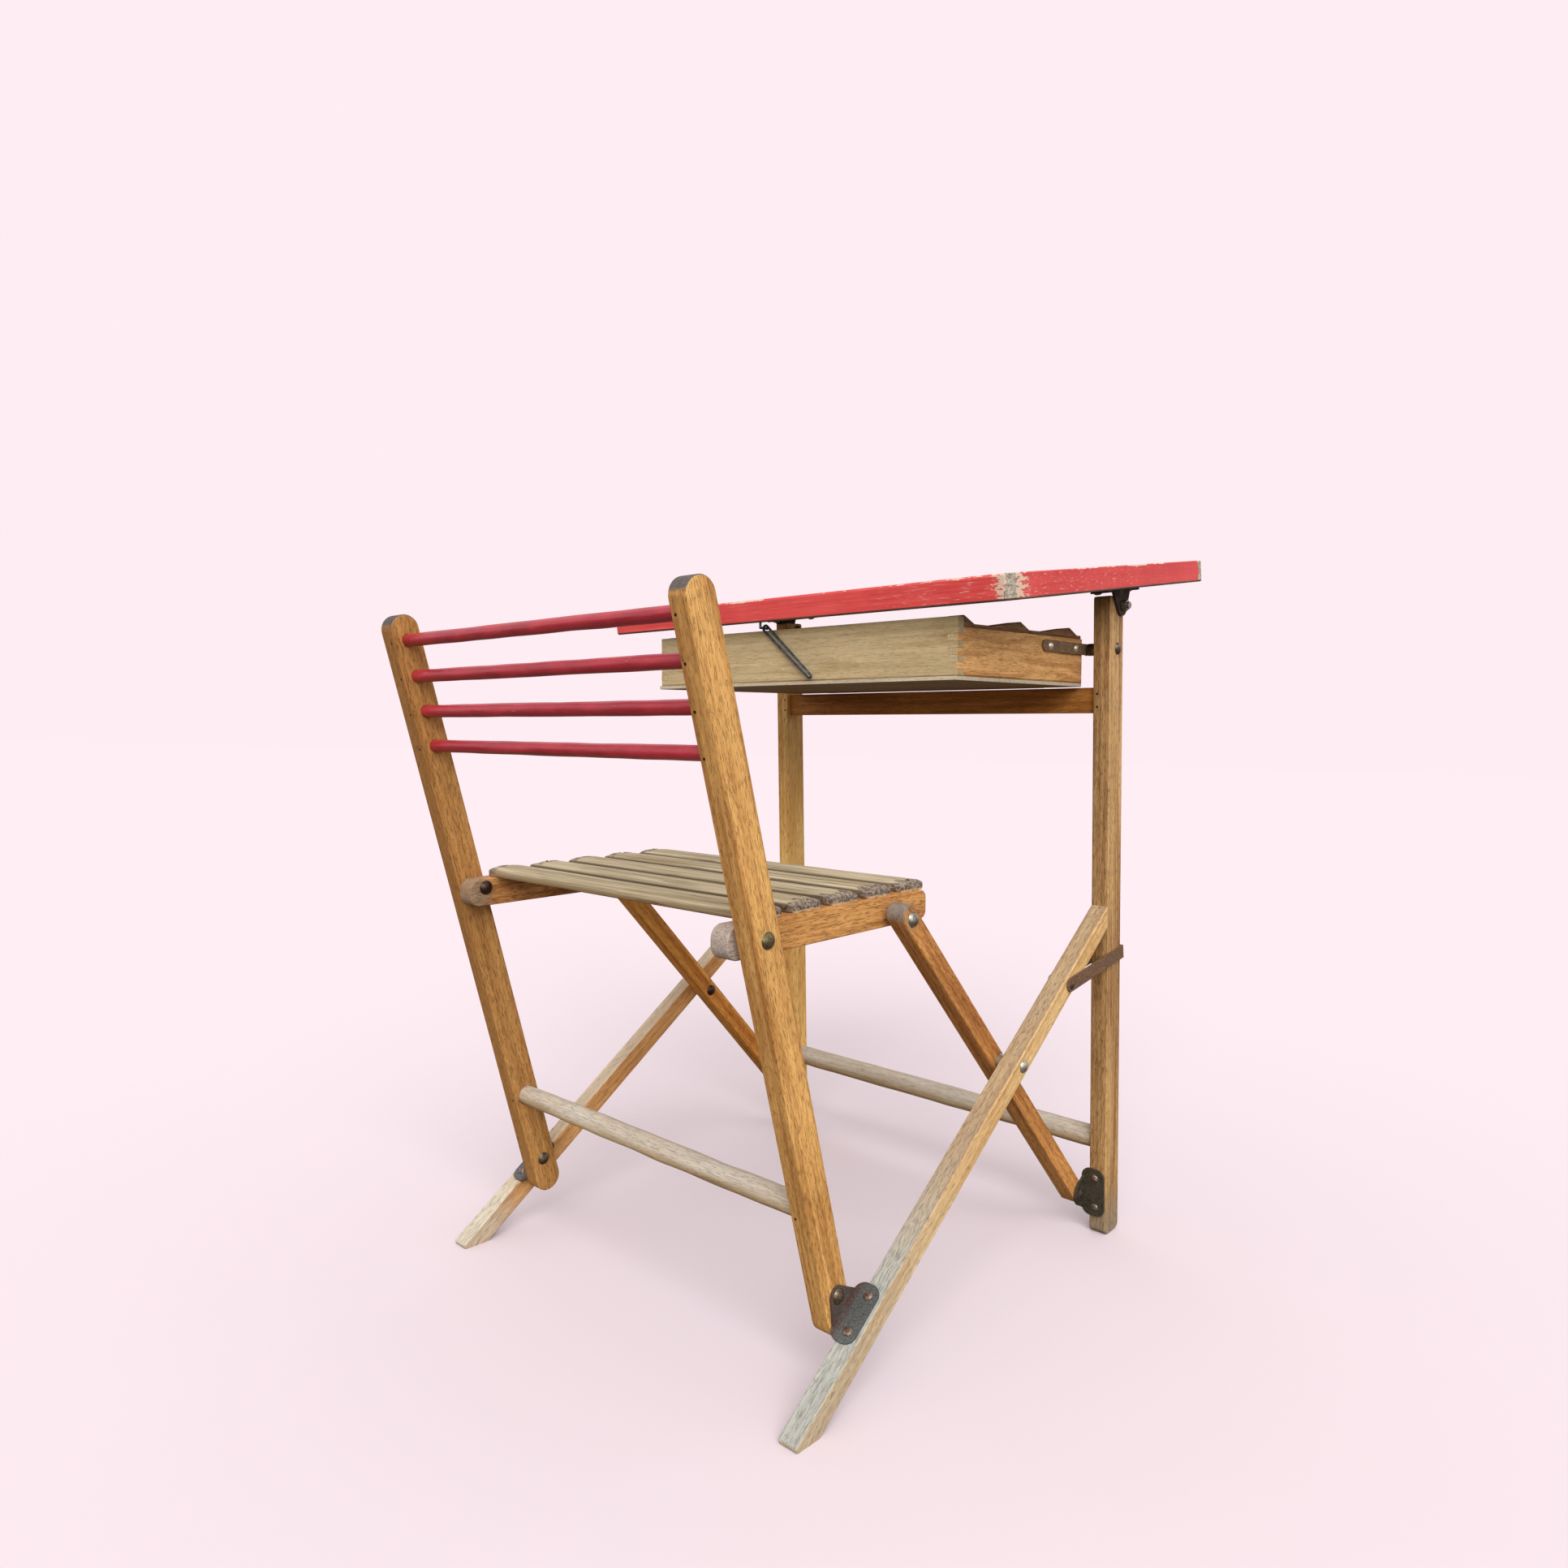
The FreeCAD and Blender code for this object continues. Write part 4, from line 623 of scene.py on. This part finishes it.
raspberry = rung_paint()
RUNG_RADIUS = 0.005
RUNG_NECK = (0.012, 0.9)
RUNG_SWAY = 0.0003
RUNG_SEED = 3.7
for number in range(1, 5):
    dowel(f"red_rung_{number}", f"back_rung_{number}", "chair_back", RUNG_RADIUS,
          raspberry, RUNG_NECK, RUNG_SWAY, RUNG_SEED * number)

# Stretchers: two bare dowels low down, one between the back posts and one between the desk legs.
# Plain oak, let into blind sockets. Shoes have rubbed them grey and left them a little uneven.


def stretcher_wear(grain, normal, blotch):
    """Grey wherever a shoe can reach from above."""
    return normal.facing((0, 0, 1)).step(-0.6, 0.5) * (blotch * 0.7 + 0.45)


bare_oak = oak("bare_stretcher_oak", ALONG_X, (214, 188, 148), (172, 138, 96), (124, 98, 70),
               worn=stretcher_wear, grey=(214, 202, 188), pore_depth=0.2)
STRETCHER_NECK = (0.02, 0.94)
STRETCHER_SWAY = 0.0006
for name, node, body, radius, seed in (("rear_foot_rod", "rear_stretcher", "chair_back", 0.00825, 21.3),
                                       ("front_foot_rod", "front_stretcher", "desk_frame", 0.01, 34.9)):
    dowel(name, node, body, radius, bare_oak, STRETCHER_NECK, STRETCHER_SWAY, seed)

# Seat rails: two short oak bars under the slats, bolted between the posts and the braces.
# Reddish honey varnish on the outer face, rounded grey ends where they stick out behind the posts.
RAIL_DIRECTION = 1.9
RAIL_EDGE = 0.003
RAIL_PORE = (104, 60, 28)


def rail_wear(grain, normal, blotch):
    """Grey at the rear end, behind the post."""
    return 1 - (grain.part(2) + blotch * 0.02).step(-0.226, -0.208)


for side, grey in (("left", (172, 138, 108)), ("right", (198, 178, 166))):
    rail_oak = oak(f"{side}_rail_oak", side_turn(RAIL_DIRECTION), (228, 168, 100), (164, 100, 50), RAIL_PORE,
                   worn=rail_wear, grey=grey)
    eased(f"{side}_seat_rail", "seat", rail_oak, RAIL_EDGE)

# Seat slats: five oak boards nailed across the rails, bleached grey-beige by weather.
# Their ends are broken, dark and splintered, and the arrises are worn round.
SLAT_LONG = 0.308
SLAT_WIDE = 0.032
SLAT_THICK = 0.008
SLAT_CROWN = 0.0026
SLAT_ARRIS = 0.001
SLAT_WAVE = 0.00045
END_ROUND = 0.006
END_DAMAGE = 0.014
END_BREAK = 0.003
END_SHRINK = 0.0008
END_RAGGED = 0.0012
END_CRACK = 0.0009
END_DROP = 0.7
END_NARROW = 0.8
CROWN_POWER = 3.2
CROWN_STEPS = 20
UNDER_STEPS = 10
SLAT_SHARP_FROM = math.radians(50)
WEATHERED_FIBRE = (0.66, 0.6, 0.52, 1)
SEAT_TURN = (-math.radians(RAIL_DIRECTION), -math.pi / 2, 0)
first_low, first_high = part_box("seat_slat_1")
first_slat = Matrix.Rotation(-math.radians(RAIL_DIRECTION), 3, "X") @ ((first_low + first_high) / 2)


def slat_section():
    """The outline of a slat with a crowned top, as (across, up) points."""
    half = SLAT_WIDE / 2
    outline = []
    for part in range(CROWN_STEPS + 1):
        across = math.cos(math.pi * part / CROWN_STEPS)
        outline.append((half * across, SLAT_THICK / 2 - SLAT_CROWN * abs(across) ** CROWN_POWER))
    outline.append((-half, -SLAT_THICK / 2 + SLAT_ARRIS))
    for part in range(UNDER_STEPS + 1):
        outline.append(((half - SLAT_ARRIS) * (2 * part / UNDER_STEPS - 1), -SLAT_THICK / 2))
    outline.append((half, -SLAT_THICK / 2 + SLAT_ARRIS))
    return outline


def turned_in(distance, radius):
    """How far a quarter-round end has fallen back at a distance from its tip."""
    left = max(0.0, 1 - distance / radius)
    return radius * (1 - math.sqrt(1 - left * left))


def slat(number, material):
    """One slat with a crowned, wavy top and broken ends, in place of its plain CAD board."""
    node = f"seat_slat_{number}"
    low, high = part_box(node)
    centre = (low + high) / 2
    tilt = Matrix.Rotation(math.radians(RAIL_DIRECTION), 3, "X")
    outline = slat_section()
    shape = bmesh.new()
    steps = 150
    rings = []
    for index in range(steps + 1):
        share = 2 * index / steps - 1
        x = SLAT_LONG / 2 * math.copysign(1 - (1 - abs(share)) ** 1.6, share)
        ring = []
        from_end = SLAT_LONG / 2 - abs(x)
        near_end = max(0.0, 1 - from_end / END_DAMAGE)
        for across, up in outline:
            ragged = noise.noise((across * 170, up * 260, number * 5.1 + math.copysign(3, x)))
            broken = max(0.0, noise.noise((across * 130, x * 90, number * 9.7)) + 0.15)
            worn = turned_in(from_end, END_ROUND) * END_DROP + near_end * broken * END_BREAK
            wave = noise.noise((x * 7, across * 12, number * 2.3)) * SLAT_WAVE
            lift = max(0.0, up) * 2 / SLAT_THICK
            pull = near_end ** 3 * (END_SHRINK + END_RAGGED * ragged)
            narrow = 1 - turned_in(from_end, END_ROUND) * END_NARROW / (SLAT_WIDE / 2)
            point = Vector((x - math.copysign(pull, x), across * narrow, up - worn * lift + wave * lift))
            ring.append(shape.verts.new(centre + tilt @ point))
        rings.append(ring)
    bridge(shape, rings)
    for ring in (rings[0], rings[-1]):
        middle = sum((vert.co for vert in ring), Vector()) / len(ring)
        inner = []
        for vert in ring:
            crack = noise.noise(vert.co * 700) * END_CRACK
            inner.append(shape.verts.new(vert.co.lerp(middle, 0.35) + Vector((crack, 0, 0))))
        bridge(shape, (ring, inner))
        shape.faces.new(inner)
    mesh = smooth_mesh(f"weathered_slat_{number}", shape)
    mesh.set_sharp_from_angle(angle=SLAT_SHARP_FROM)
    mesh.materials.append(material)
    stand_in(f"weathered_slat_{number}", mesh, "seat", node)


def slat_oak():
    """Grey weathered oak with dark, splintered end grain, and painted shade in the gaps between slats."""
    finish = Finish("slat_oak")
    grain = finish.place.node("ShaderNodeMapping", {}, {"Vector": finish.place, "Rotation": SEAT_TURN})
    broad = grain.noise((40, 40, 5), 4)
    streak = grain.noise((260, 260, 6), 5)
    fibre = grain.noise((1100, 1100, 22), 4)
    crack = grain.noise((620, 620, 14), 2).step(0.64, 0.72)
    colour = (broad * 0.4 + streak * 0.6).step(0.32, 0.68).tint(paint(152, 134, 102), paint(218, 202, 170))
    colour = (fibre.step(0.42, 0.62) * 0.5).tint(colour, WEATHERED_FIBRE, "MULTIPLY")
    colour = (crack * 0.7).tint(colour, paint(92, 76, 58))
    # Below the top face: painted shade in the gaps between slats, and brown low on the rear slat's free edge
    sunk = first_slat.z + SLAT_THICK / 2 + grain.part(0)
    from_first = grain.part(1) - (first_slat.y - SLAT_WIDE / 2)
    between = (from_first + broad * 0.002).step(0.003, 0.006)
    painted_gap_shade = (sunk + broad * 0.001).step(0.0021, 0.003) * between
    colour = (painted_gap_shade * 0.8).tint(colour, paint(84, 66, 46))
    rear_edge_brown = (sunk + broad * 0.006 + streak * 0.002).step(0.0062, 0.0105) * (1 - between)
    colour = (rear_edge_brown * 0.7).tint(colour, paint(150, 112, 70))
    # Dark rot near both ends, and fresh breaks low on the tips
    aside = grain.part(2).maths("ABSOLUTE", grain.part(2))
    reach = aside + (grain.noise((170, 170, 60), 5) - 0.5) * 0.045
    end = reach.step(SLAT_LONG / 2 - 0.011, SLAT_LONG / 2 - 0.006)
    rot = grain.noise((500, 500, 400), 4).step(0.35, 0.65).tint(paint(84, 72, 64), paint(166, 148, 132))
    colour = (end * 0.9).tint(colour, rot)
    tip = aside.step(SLAT_LONG / 2 - 0.003, SLAT_LONG / 2 - 0.0015)
    fresh = tip * (sunk + streak * 0.003).step(0.0075, 0.0085)
    colour = (fresh * 0.8).tint(colour, paint(212, 176, 132))
    finish.feed(Base_Color=colour, Roughness=0.78 + end * 0.12, Specular_IOR_Level=0.3)
    splinter = end * grain.noise((900, 900, 300), 4)
    finish.rough_up(fibre * 0.5 - crack + streak * 0.4 + splinter, distance=0.0008)
    return finish.material


grey_slat = slat_oak()
for number in range(1, 6):
    slat(number, grey_slat)

# Desk legs: two upright oak bars that carry the box, the tabletop hinge and the locking bails.
# Honey varnish, worn grey at the feet. The right one is browner on the face towards the sitter.
LEG_DIRECTION = 93.16
LEG_GREY = (160, 146, 124)


def leg_wear(grain, normal, blotch):
    """Grey at the foot."""
    foot = 1 - (grain.part(2) + blotch * 0.04).step(0.01, 0.06)
    return foot * 0.7


def leg_sitter_face_brown(grain, normal, blotch):
    """Brown on the face towards the sitter."""
    return (0 - normal.part(1)).step(0.5, 0.95) * (0.25 + blotch * 0.3)


right_leg_oak = oak("right_leg_oak", side_turn(LEG_DIRECTION), (222, 178, 120), (158, 114, 70), (102, 70, 40),
                    worn=leg_wear, grey=LEG_GREY, stain_and_shade=leg_sitter_face_brown)
# The left leg's oak is paler, as painted light against the shade of the tabletop above it.
left_leg_brightened_oak = oak("left_leg_brightened_oak", side_turn(LEG_DIRECTION), (255, 210, 130), (232, 170, 94), (152, 102, 54),
                   worn=leg_wear, grey=LEG_GREY)
dress(right_leg_oak, "right_desk_leg")
dress(left_leg_brightened_oak, "left_desk_leg")

# Crossbar: a plain oak rail under the box that keeps the desk legs apart.
# Stained brown, let into both legs and pinned there by nails.
CROSSBAR_EDGE = 0.001
crossbar_oak = oak("crossbar_oak", ALONG_X, (206, 138, 66), (160, 98, 38), (106, 60, 22), pore_depth=0.25)
eased("crossbar", "desk_frame", crossbar_oak, CROSSBAR_EDGE)

# Leg brackets: pressed steel angles like those of the posts, which hold the braces' feet.
# Olive brown with age, each held on the back of its desk leg by two slotted screws.
leg_steel = plate_steel("leg_bracket_steel", (96, 92, 76), (78, 64, 48), rusted=0.6)
LEG_SCREW_UP = (-0.0115, 0.0155)
LEG_SCREW_RISE = 0.0045
LEG_SCREW_SEED = 11
leg_back = (0, -math.sin(math.radians(LEG_DIRECTION)), math.cos(math.radians(LEG_DIRECTION)))
leg_screws = []
for side, sign in (("left", -1), ("right", 1)):
    eased(f"{side}_leg_bracket", "desk_frame", leg_steel, PLATE_EDGE)
    for up in LEG_SCREW_UP:
        leg_screws.append((beside("desk_fold", LEG_DIRECTION, up, -LEG_SCREW_RISE, sign * SCREW_X), leg_back))
set_screws("leg_bracket_slotted_screws", "desk_frame", leg_screws, "leg_bracket_screws",
           LEG_SCREW_SEED, screw_steel)

# Locking bails: loops of bent strip steel that tie the ground legs to the desk legs.
# Brown with rust all over, and riveted so that they can swing.
STRIP_EDGE = 0.0004
bail_steel = plate_steel("bail_steel", (136, 104, 78), (136, 100, 72), rusted=1.0)
for side in ("left", "right"):
    eased(f"{side}_locking_bail", "locking_bails", bail_steel, STRIP_EDGE)

# Box: a shallow tray of thin boards, finger-jointed at the rear corners, for books and pencils.
# The rear board is washed-out grey-beige with stains; the sides are warm brown with a wavy figure.
# Below the seam heights, where they meet the bottom board, the boards are dark.
REAR_SEAM = 0.4992
SIDE_SEAM = 0.5001


def rear_board_wear(grain, normal, blotch):
    """Washed out in soft blotches."""
    return blotch.step(0.2, 0.7) * 0.5


def rear_board_stain(grain, normal, blotch):
    """Dark finger ends, water stains and the seam."""
    finger_end = normal.part(0).maths("ABSOLUTE", normal.part(0)).step(0.6, 0.9) * 0.45
    seam = (grain.part(0) + REAR_SEAM).step(0, 0.0005)
    return finger_end.most(grain.noise((26, 26, 12), 5).step(0.5, 0.72) * 0.5).most(seam)


def side_seam(grain, normal, blotch):
    """Dark at the seam only."""
    return (grain.part(1) + SIDE_SEAM).step(0, 0.0005)


def side_end(grain, normal, blotch):
    """Pale end grain on the fingers that show behind."""
    return (0 - normal.part(1)).step(0.6, 0.9) * 0.9


def painted_underside_shade(grain, normal, blotch):
    """Painted shade below."""
    return (0 - normal.part(2)).step(0.6, 0.9)


def board_edge(grain, normal, blotch):
    """Pale on the edges all round."""
    return 1 - normal.part(2).maths("ABSOLUTE", normal.part(2)).step(0.3, 0.6)


rear_board = oak("box_rear_wood", ALONG_X, (214, 190, 148), (184, 160, 116), (146, 122, 84),
                 worn=rear_board_wear, grey=(204, 184, 144), stain_and_shade=rear_board_stain, pore_depth=0.15)
side_board = oak("box_side_wood", side_turn(RAIL_DIRECTION), (240, 184, 118), (206, 148, 88), (150, 102, 58),
                 worn=side_end, grey=(206, 184, 144), figure=0.1, stain_and_shade=side_seam, pore_depth=0.25)
# The bottom board is darkened beneath as painted shade.
inner_board = oak("box_bottom_wood", ALONG_X, (212, 180, 128), (178, 146, 94), (136, 108, 68),
                  worn=board_edge, grey=(212, 200, 176), stain_and_shade=painted_underside_shade, pore_depth=0.15)
BOX_EDGE = 0.0005
BOX_HALF = 0.1706
BOX_BACK = -0.030
LEDGE_WORN = 0.0027
eased("box_rear_panel", "desk_box", rear_board, BOX_EDGE)
eased("box_front_panel", "desk_box", rear_board, BOX_EDGE)
bottom_board = eased("box_bottom_board", "desk_box", inner_board, BOX_EDGE)
# The bottom board is cut back at the sides and worn back behind
for vert in bottom_board.data.vertices:
    vert.co.x = max(-BOX_HALF, min(BOX_HALF, vert.co.x))
    if vert.co.y < BOX_BACK:
        vert.co.y += LEDGE_WORN
for side in ("left", "right"):
    eased(f"box_{side}_side", "desk_box", side_board, BOX_EDGE)

# Racks: toothed hardwood strips along the box sides, whose notches take a prop for the tabletop.
# Dark brown, with the points of the teeth worn blunt.
RACK_EDGE = 0.0008
rack_wood = oak("rack_wood", side_turn(RAIL_DIRECTION), (168, 122, 78), (120, 82, 50), (70, 46, 28))
for side in ("left", "right"):
    eased(f"{side}_rack", "desk_box", rack_wood, RACK_EDGE)

# Box straps: flat steel strips that carry the box, whose ends turn on pins through the desk legs.
# Brown with rust, and fixed to the box sides by rivets with bright heads.
strap_steel = plate_steel("strap_steel", (168, 140, 108), (144, 112, 80), rusted=0.8)
for side in ("left", "right"):
    eased(f"{side}_box_strap", "desk_box", strap_steel, STRIP_EDGE)
dress(head_steel("strap_rivet_steel", (236, 228, 208), (180, 166, 140), worn=0.9), "strap_rivets")

# Tabletop: one thick board under coral-red paint, brushed along its length.
# The paint is chipped off the arrises, and the near corner is knocked back to bare grey wood.
TOP_SLOPE = 9.76
TOP_HALF = 0.221
TOP_BACK = -0.230
TOP_FRONT = 0.1355
TOP_UNDER = 0.0145
TOP_FACE = 0.0345
CORNER_REACH = 0.016
CORNER_STRETCH = 0.4
STRIP_MIDDLE = 0.003
STRIP_HALF = 0.0034
STRIP_CRACK = 0.0012
UNDER_SHADE_LINE = 0.002
FACE_DULL = (0.74, 0.7, 0.7, 1)
SIDE_DULL = (0.92, 0.8, 0.78, 1)
top_up = (0, -math.sin(math.radians(TOP_SLOPE)), math.cos(math.radians(TOP_SLOPE)))


def top_paint():
    """Brushed red paint with chipped arrises, a bare near corner, a brown underside and a line of painted
    shade above it.
    """
    finish = Finish("coral_tabletop_paint")
    turn = Matrix.Rotation(math.radians(-TOP_SLOPE), 3, "X")
    board = finish.place.node("ShaderNodeMapping", {}, {
        "Vector": finish.place, "Rotation": (math.radians(-TOP_SLOPE), 0, 0),
        "Location": -(turn @ pivots["lid"])})
    # Distances from the sides, the ends, the two faces and the nearest arris
    x = board.part(0)
    y = board.part(1)
    z = board.part(2)
    from_side = TOP_HALF - x.maths("ABSOLUTE", x)
    from_back = y - TOP_BACK
    from_end = from_back.least(TOP_FRONT - y)
    from_face = (z - TOP_UNDER).least(TOP_FACE - z)
    edge = from_side.least(from_end).most(from_side.most(from_end).least(from_face))
    # Paint, brushed along each edge and duller on the upper face
    at_side = finish.normal.part(0).maths("ABSOLUTE", finish.normal.part(0)).step(0.6, 0.9)
    brush = board.noise((7, 260, 260), 5) * (1 - at_side) + board.noise((260, 7, 260), 5) * at_side
    grainy = board.noise((22, 800, 800), 4)
    tear = board.noise((130, 130, 420), 5, 0.65)
    patchy = board.noise((38, 38, 38), 4)
    cloud = board.noise((18, 18, 18), 4)
    colour = (brush * 0.5 + cloud * 0.5).step(0.3, 0.7).tint(paint(214, 66, 66), paint(238, 92, 90))
    colour = (grainy.step(0.58, 0.68) * 0.4).tint(colour, paint(168, 44, 46))
    upper = finish.normal.facing(top_up).step(0.6, 0.9)
    colour = upper.tint(colour, FACE_DULL, "MULTIPLY")
    colour = at_side.tint(colour, SIDE_DULL, "MULTIPLY")
    colour = ((1 - grainy).step(0.6, 0.68) * 0.55).tint(colour, paint(244, 140, 132))
    # Paint flaked and scratched off, down to bare wood in a strip at the near corner
    round_corner = from_back * CORNER_STRETCH
    corner = round_corner.most(TOP_HALF - x)
    at_corner = 1 - (corner + tear * 0.008).step(CORNER_REACH, CORNER_REACH + 0.003)
    along = round_corner - (TOP_HALF - x)
    from_strip = (along - STRIP_MIDDLE).maths("ABSOLUTE", along - STRIP_MIDDLE)
    flake = (tear - from_strip * 15).step(0.34, 0.37) * at_corner
    far_corner = (y - TOP_FRONT).step(-0.011, -0.006) * (x - TOP_HALF).step(-0.011, -0.006)
    arris = patchy * 0.0065 + tear * 0.004 - edge + far_corner * 0.008
    scratch = board.noise((90, 120, 900), 5, 0.7).step(0.6, 0.64) * (1 - corner.step(0.03, 0.16)) * 0.7
    chip = arris.step(0.0046, 0.0052).most(scratch)
    colour = flake.most(chip).tint(colour, paint(226, 198, 176))
    bare = (1 - (from_strip + tear * 0.009).step(STRIP_HALF + 0.0036, STRIP_HALF + 0.0044)) * at_corner
    bare = bare.most(arris.step(0.0056, 0.0062))
    wood = (grainy * 0.4 + tear * 0.6).step(0.36, 0.62).tint(paint(128, 114, 100), paint(214, 202, 184))
    colour = bare.tint(colour, wood)
    # A crack low in the strip, the brown underside, and a line of painted shade along the bottom of the edges
    crack = 1 - (along + STRIP_CRACK).maths("ABSOLUTE", along + STRIP_CRACK).step(0.0003, 0.0006)
    low_crack = crack * (1 - z.step(TOP_UNDER + 0.006, TOP_UNDER + 0.008)) * at_corner
    colour = (low_crack * 0.7).tint(colour, paint(70, 52, 46))
    below = (TOP_UNDER + UNDER_SHADE_LINE - z).step(0, 0.0006)
    dusk = cloud.step(0.3, 0.7).tint(paint(82, 60, 48), paint(112, 86, 70))
    colour = below.tint(colour, dusk)
    finish.feed(Base_Color=colour, Roughness=0.5 + brush * 0.14 + bare * 0.25, Specular_IOR_Level=0.3)
    finish.rough_up(brush * 0.4 + grainy * 0.4 - bare * 1.2, distance=0.0004)
    return finish.material


dress(top_paint(), "tabletop")

# Hinge ears: steel plates under the tabletop that turn on bolts through the desk legs' heads.
# Nearly black with age, each held by two slotted screws.
ear_steel = plate_steel("ear_steel", (82, 66, 52), (72, 50, 38), rusted=0.8)
EAR_SCREW_ALONG = (-0.026, 0.034)
EAR_SCREW_RISE = 0.0125
EAR_SCREW_X = 0.192
EAR_SCREW_SEED = 17
top_down = (0, math.sin(math.radians(TOP_SLOPE)), -math.cos(math.radians(TOP_SLOPE)))
ear_screws = []
for side, sign in (("left", -1), ("right", 1)):
    eased(f"{side}_hinge_ear", "desk_top", ear_steel, PLATE_EDGE)
    for along in EAR_SCREW_ALONG:
        ear_screws.append((beside("lid", TOP_SLOPE, along, EAR_SCREW_RISE, sign * EAR_SCREW_X), top_down))
set_screws("hinge_ear_slotted_screws", "desk_top", ear_screws, "hinge_ear_screws",
           EAR_SCREW_SEED, screw_steel)
dress(bolt_steel, "top_hinge_bolts", "top_hinge_nuts")

# Wire stay: a long loop of steel wire that hangs from a hook under the tabletop's rear edge.
# Blue-grey, with its two strands pinched closer together beyond the eye that turns on the hook.
wire_steel = head_steel("stay_wire_steel", (96, 110, 122), (52, 64, 76), worn=0.5)
dress(wire_steel, "stay_hook")
STAY_BEND = 0.0026
STAY_PINCH = 0.001
STAY_EYE = 0.015
WIRE_EDGE = 0.0001
stay = eased("wire_stay", "top_stay", wire_steel, WIRE_EDGE)
stay_low, stay_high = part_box("wire_stay")
stay_way = ((stay_low + stay_high) / 2 - pivots["stay_swing"]).normalized()
stay_across = stay_way.cross((0, 1, 0)).normalized()
for vert in stay.data.vertices:
    from_hook = vert.co - pivots["stay_swing"]
    aside = from_hook.dot(stay_across)
    past_eye = max(0.0, min(1.0, from_hook.dot(stay_way) / STAY_EYE))
    pinch = min(1.0, abs(aside) / STAY_BEND) * past_eye * STAY_PINCH
    vert.co -= stay_across * math.copysign(pinch, aside)

# Floor and light: a plain pale pink floor and backdrop under soft, even daylight from above and the right.
# Light that bounces meets a dark brown floor, so that the undersides keep their shade.
BACKDROP = paint(254, 237, 243)
FLOOR_BOUNCE = (0.16, 0.14, 0.12, 1)
FLOOR_HALF = 60
SKY_COLOUR = (1.0, 0.985, 0.96)
SKY_LEVEL = 0.8
SUN_LEVEL = 2.4
SUN_ANGLE = math.radians(50)
SUN_FROM = Vector((0.60, -0.585, 0.545)).normalized()
SUN_SPREAD = (1 + math.cos(SUN_ANGLE / 2)) / 2
sun_on_floor = SUN_LEVEL * SUN_FROM.z * SUN_SPREAD / math.pi
floor_mesh = bpy.data.meshes.new("studio_floor")
floor_corners = [(x * FLOOR_HALF, y * FLOOR_HALF, 0) for x, y in ((-1, -1), (1, -1), (1, 1), (-1, 1))]
floor_mesh.from_pydata(floor_corners, [], [(0, 1, 2, 3)])
floor = bpy.data.objects.new("studio_floor", floor_mesh)
bpy.context.scene.collection.objects.link(floor)
floor_finish = Finish("pale_floor")
light_path = floor_finish.tree.nodes.new("ShaderNodeLightPath")
seen = Socket(floor_finish.tree, light_path.outputs["Is Camera Ray"])
seen = seen.most(Socket(floor_finish.tree, light_path.outputs["Is Transmission Ray"]))
floor_pink = [shown / (SKY_LEVEL * sky + sun_on_floor) for shown, sky in zip(BACKDROP, SKY_COLOUR)]
floor_colour = seen.tint(FLOOR_BOUNCE, (*floor_pink, 1))
floor_finish.feed(Base_Color=floor_colour, Roughness=1.0, Specular_IOR_Level=0.0)
floor_mesh.materials.append(floor_finish.material)

world = bpy.data.worlds.new("soft_daylight")
bpy.context.scene.world = world
world.use_nodes = True
sky = world.node_tree
sky_light = sky.nodes["Background"]
sky_light.inputs["Color"].default_value = (*SKY_COLOUR, 1)
sky_light.inputs["Strength"].default_value = SKY_LEVEL
sky_shown = sky.nodes.new("ShaderNodeBackground")
sky_shown.inputs["Color"].default_value = BACKDROP
sky_path = sky.nodes.new("ShaderNodeLightPath")
sky_seen = Socket(sky, sky_path.outputs["Is Camera Ray"])
sky_seen = sky_seen.most(Socket(sky, sky_path.outputs["Is Glossy Ray"]))
sky_seen = sky_seen.most(Socket(sky, sky_path.outputs["Is Transmission Ray"]))
sky_mix = sky_seen.node("ShaderNodeMixShader", {}, {
    0: sky_seen, 1: Socket(sky, sky_light.outputs[0]), 2: Socket(sky, sky_shown.outputs[0])})
sky.links.new(sky_mix.output, sky.nodes["World Output"].inputs["Surface"])

sun_data = bpy.data.lights.new("soft_sun", "SUN")
sun_data.energy = SUN_LEVEL
sun_data.angle = SUN_ANGLE
sun = bpy.data.objects.new("soft_sun", sun_data)
sun.rotation_mode = "QUATERNION"
sun.rotation_quaternion = (-SUN_FROM).to_track_quat("-Z", "Y")
bpy.context.scene.collection.objects.link(sun)

# Camera: low behind the chair's right side, close enough for a wide view, held with a slight tilt.
# Its place and turn were fitted together with the layout of the bars.
CAMERA_PLACE = Vector((0.6241, -0.72029, 0.43746))
YAW = math.radians(42.338)
PITCH = math.radians(1.793)
ROLL = math.radians(1.357)
SENSOR_WIDTH = 36.0
LENS = 24.47
camera_data = bpy.data.cameras.new("photo_camera")
camera_data.sensor_width = SENSOR_WIDTH
camera_data.lens = LENS
camera_data.clip_start = 0.01
camera_data.clip_end = 200.0
camera = bpy.data.objects.new("photo_camera", camera_data)
bpy.context.scene.collection.objects.link(camera)
ahead = Vector((-math.sin(YAW) * math.cos(PITCH), math.cos(YAW) * math.cos(PITCH), -math.sin(PITCH)))
level = Vector((math.cos(YAW), math.sin(YAW), 0))
above = level.cross(ahead)
right = level * math.cos(ROLL) + above * math.sin(ROLL)
upward = above * math.cos(ROLL) - level * math.sin(ROLL)
camera.matrix_world = Matrix((
    (right.x, upward.x, -ahead.x, CAMERA_PLACE.x),
    (right.y, upward.y, -ahead.y, CAMERA_PLACE.y),
    (right.z, upward.z, -ahead.z, CAMERA_PLACE.z),
    (0, 0, 0, 1)))
bpy.context.scene.camera = camera
bpy.context.scene.view_settings.view_transform = "Standard"
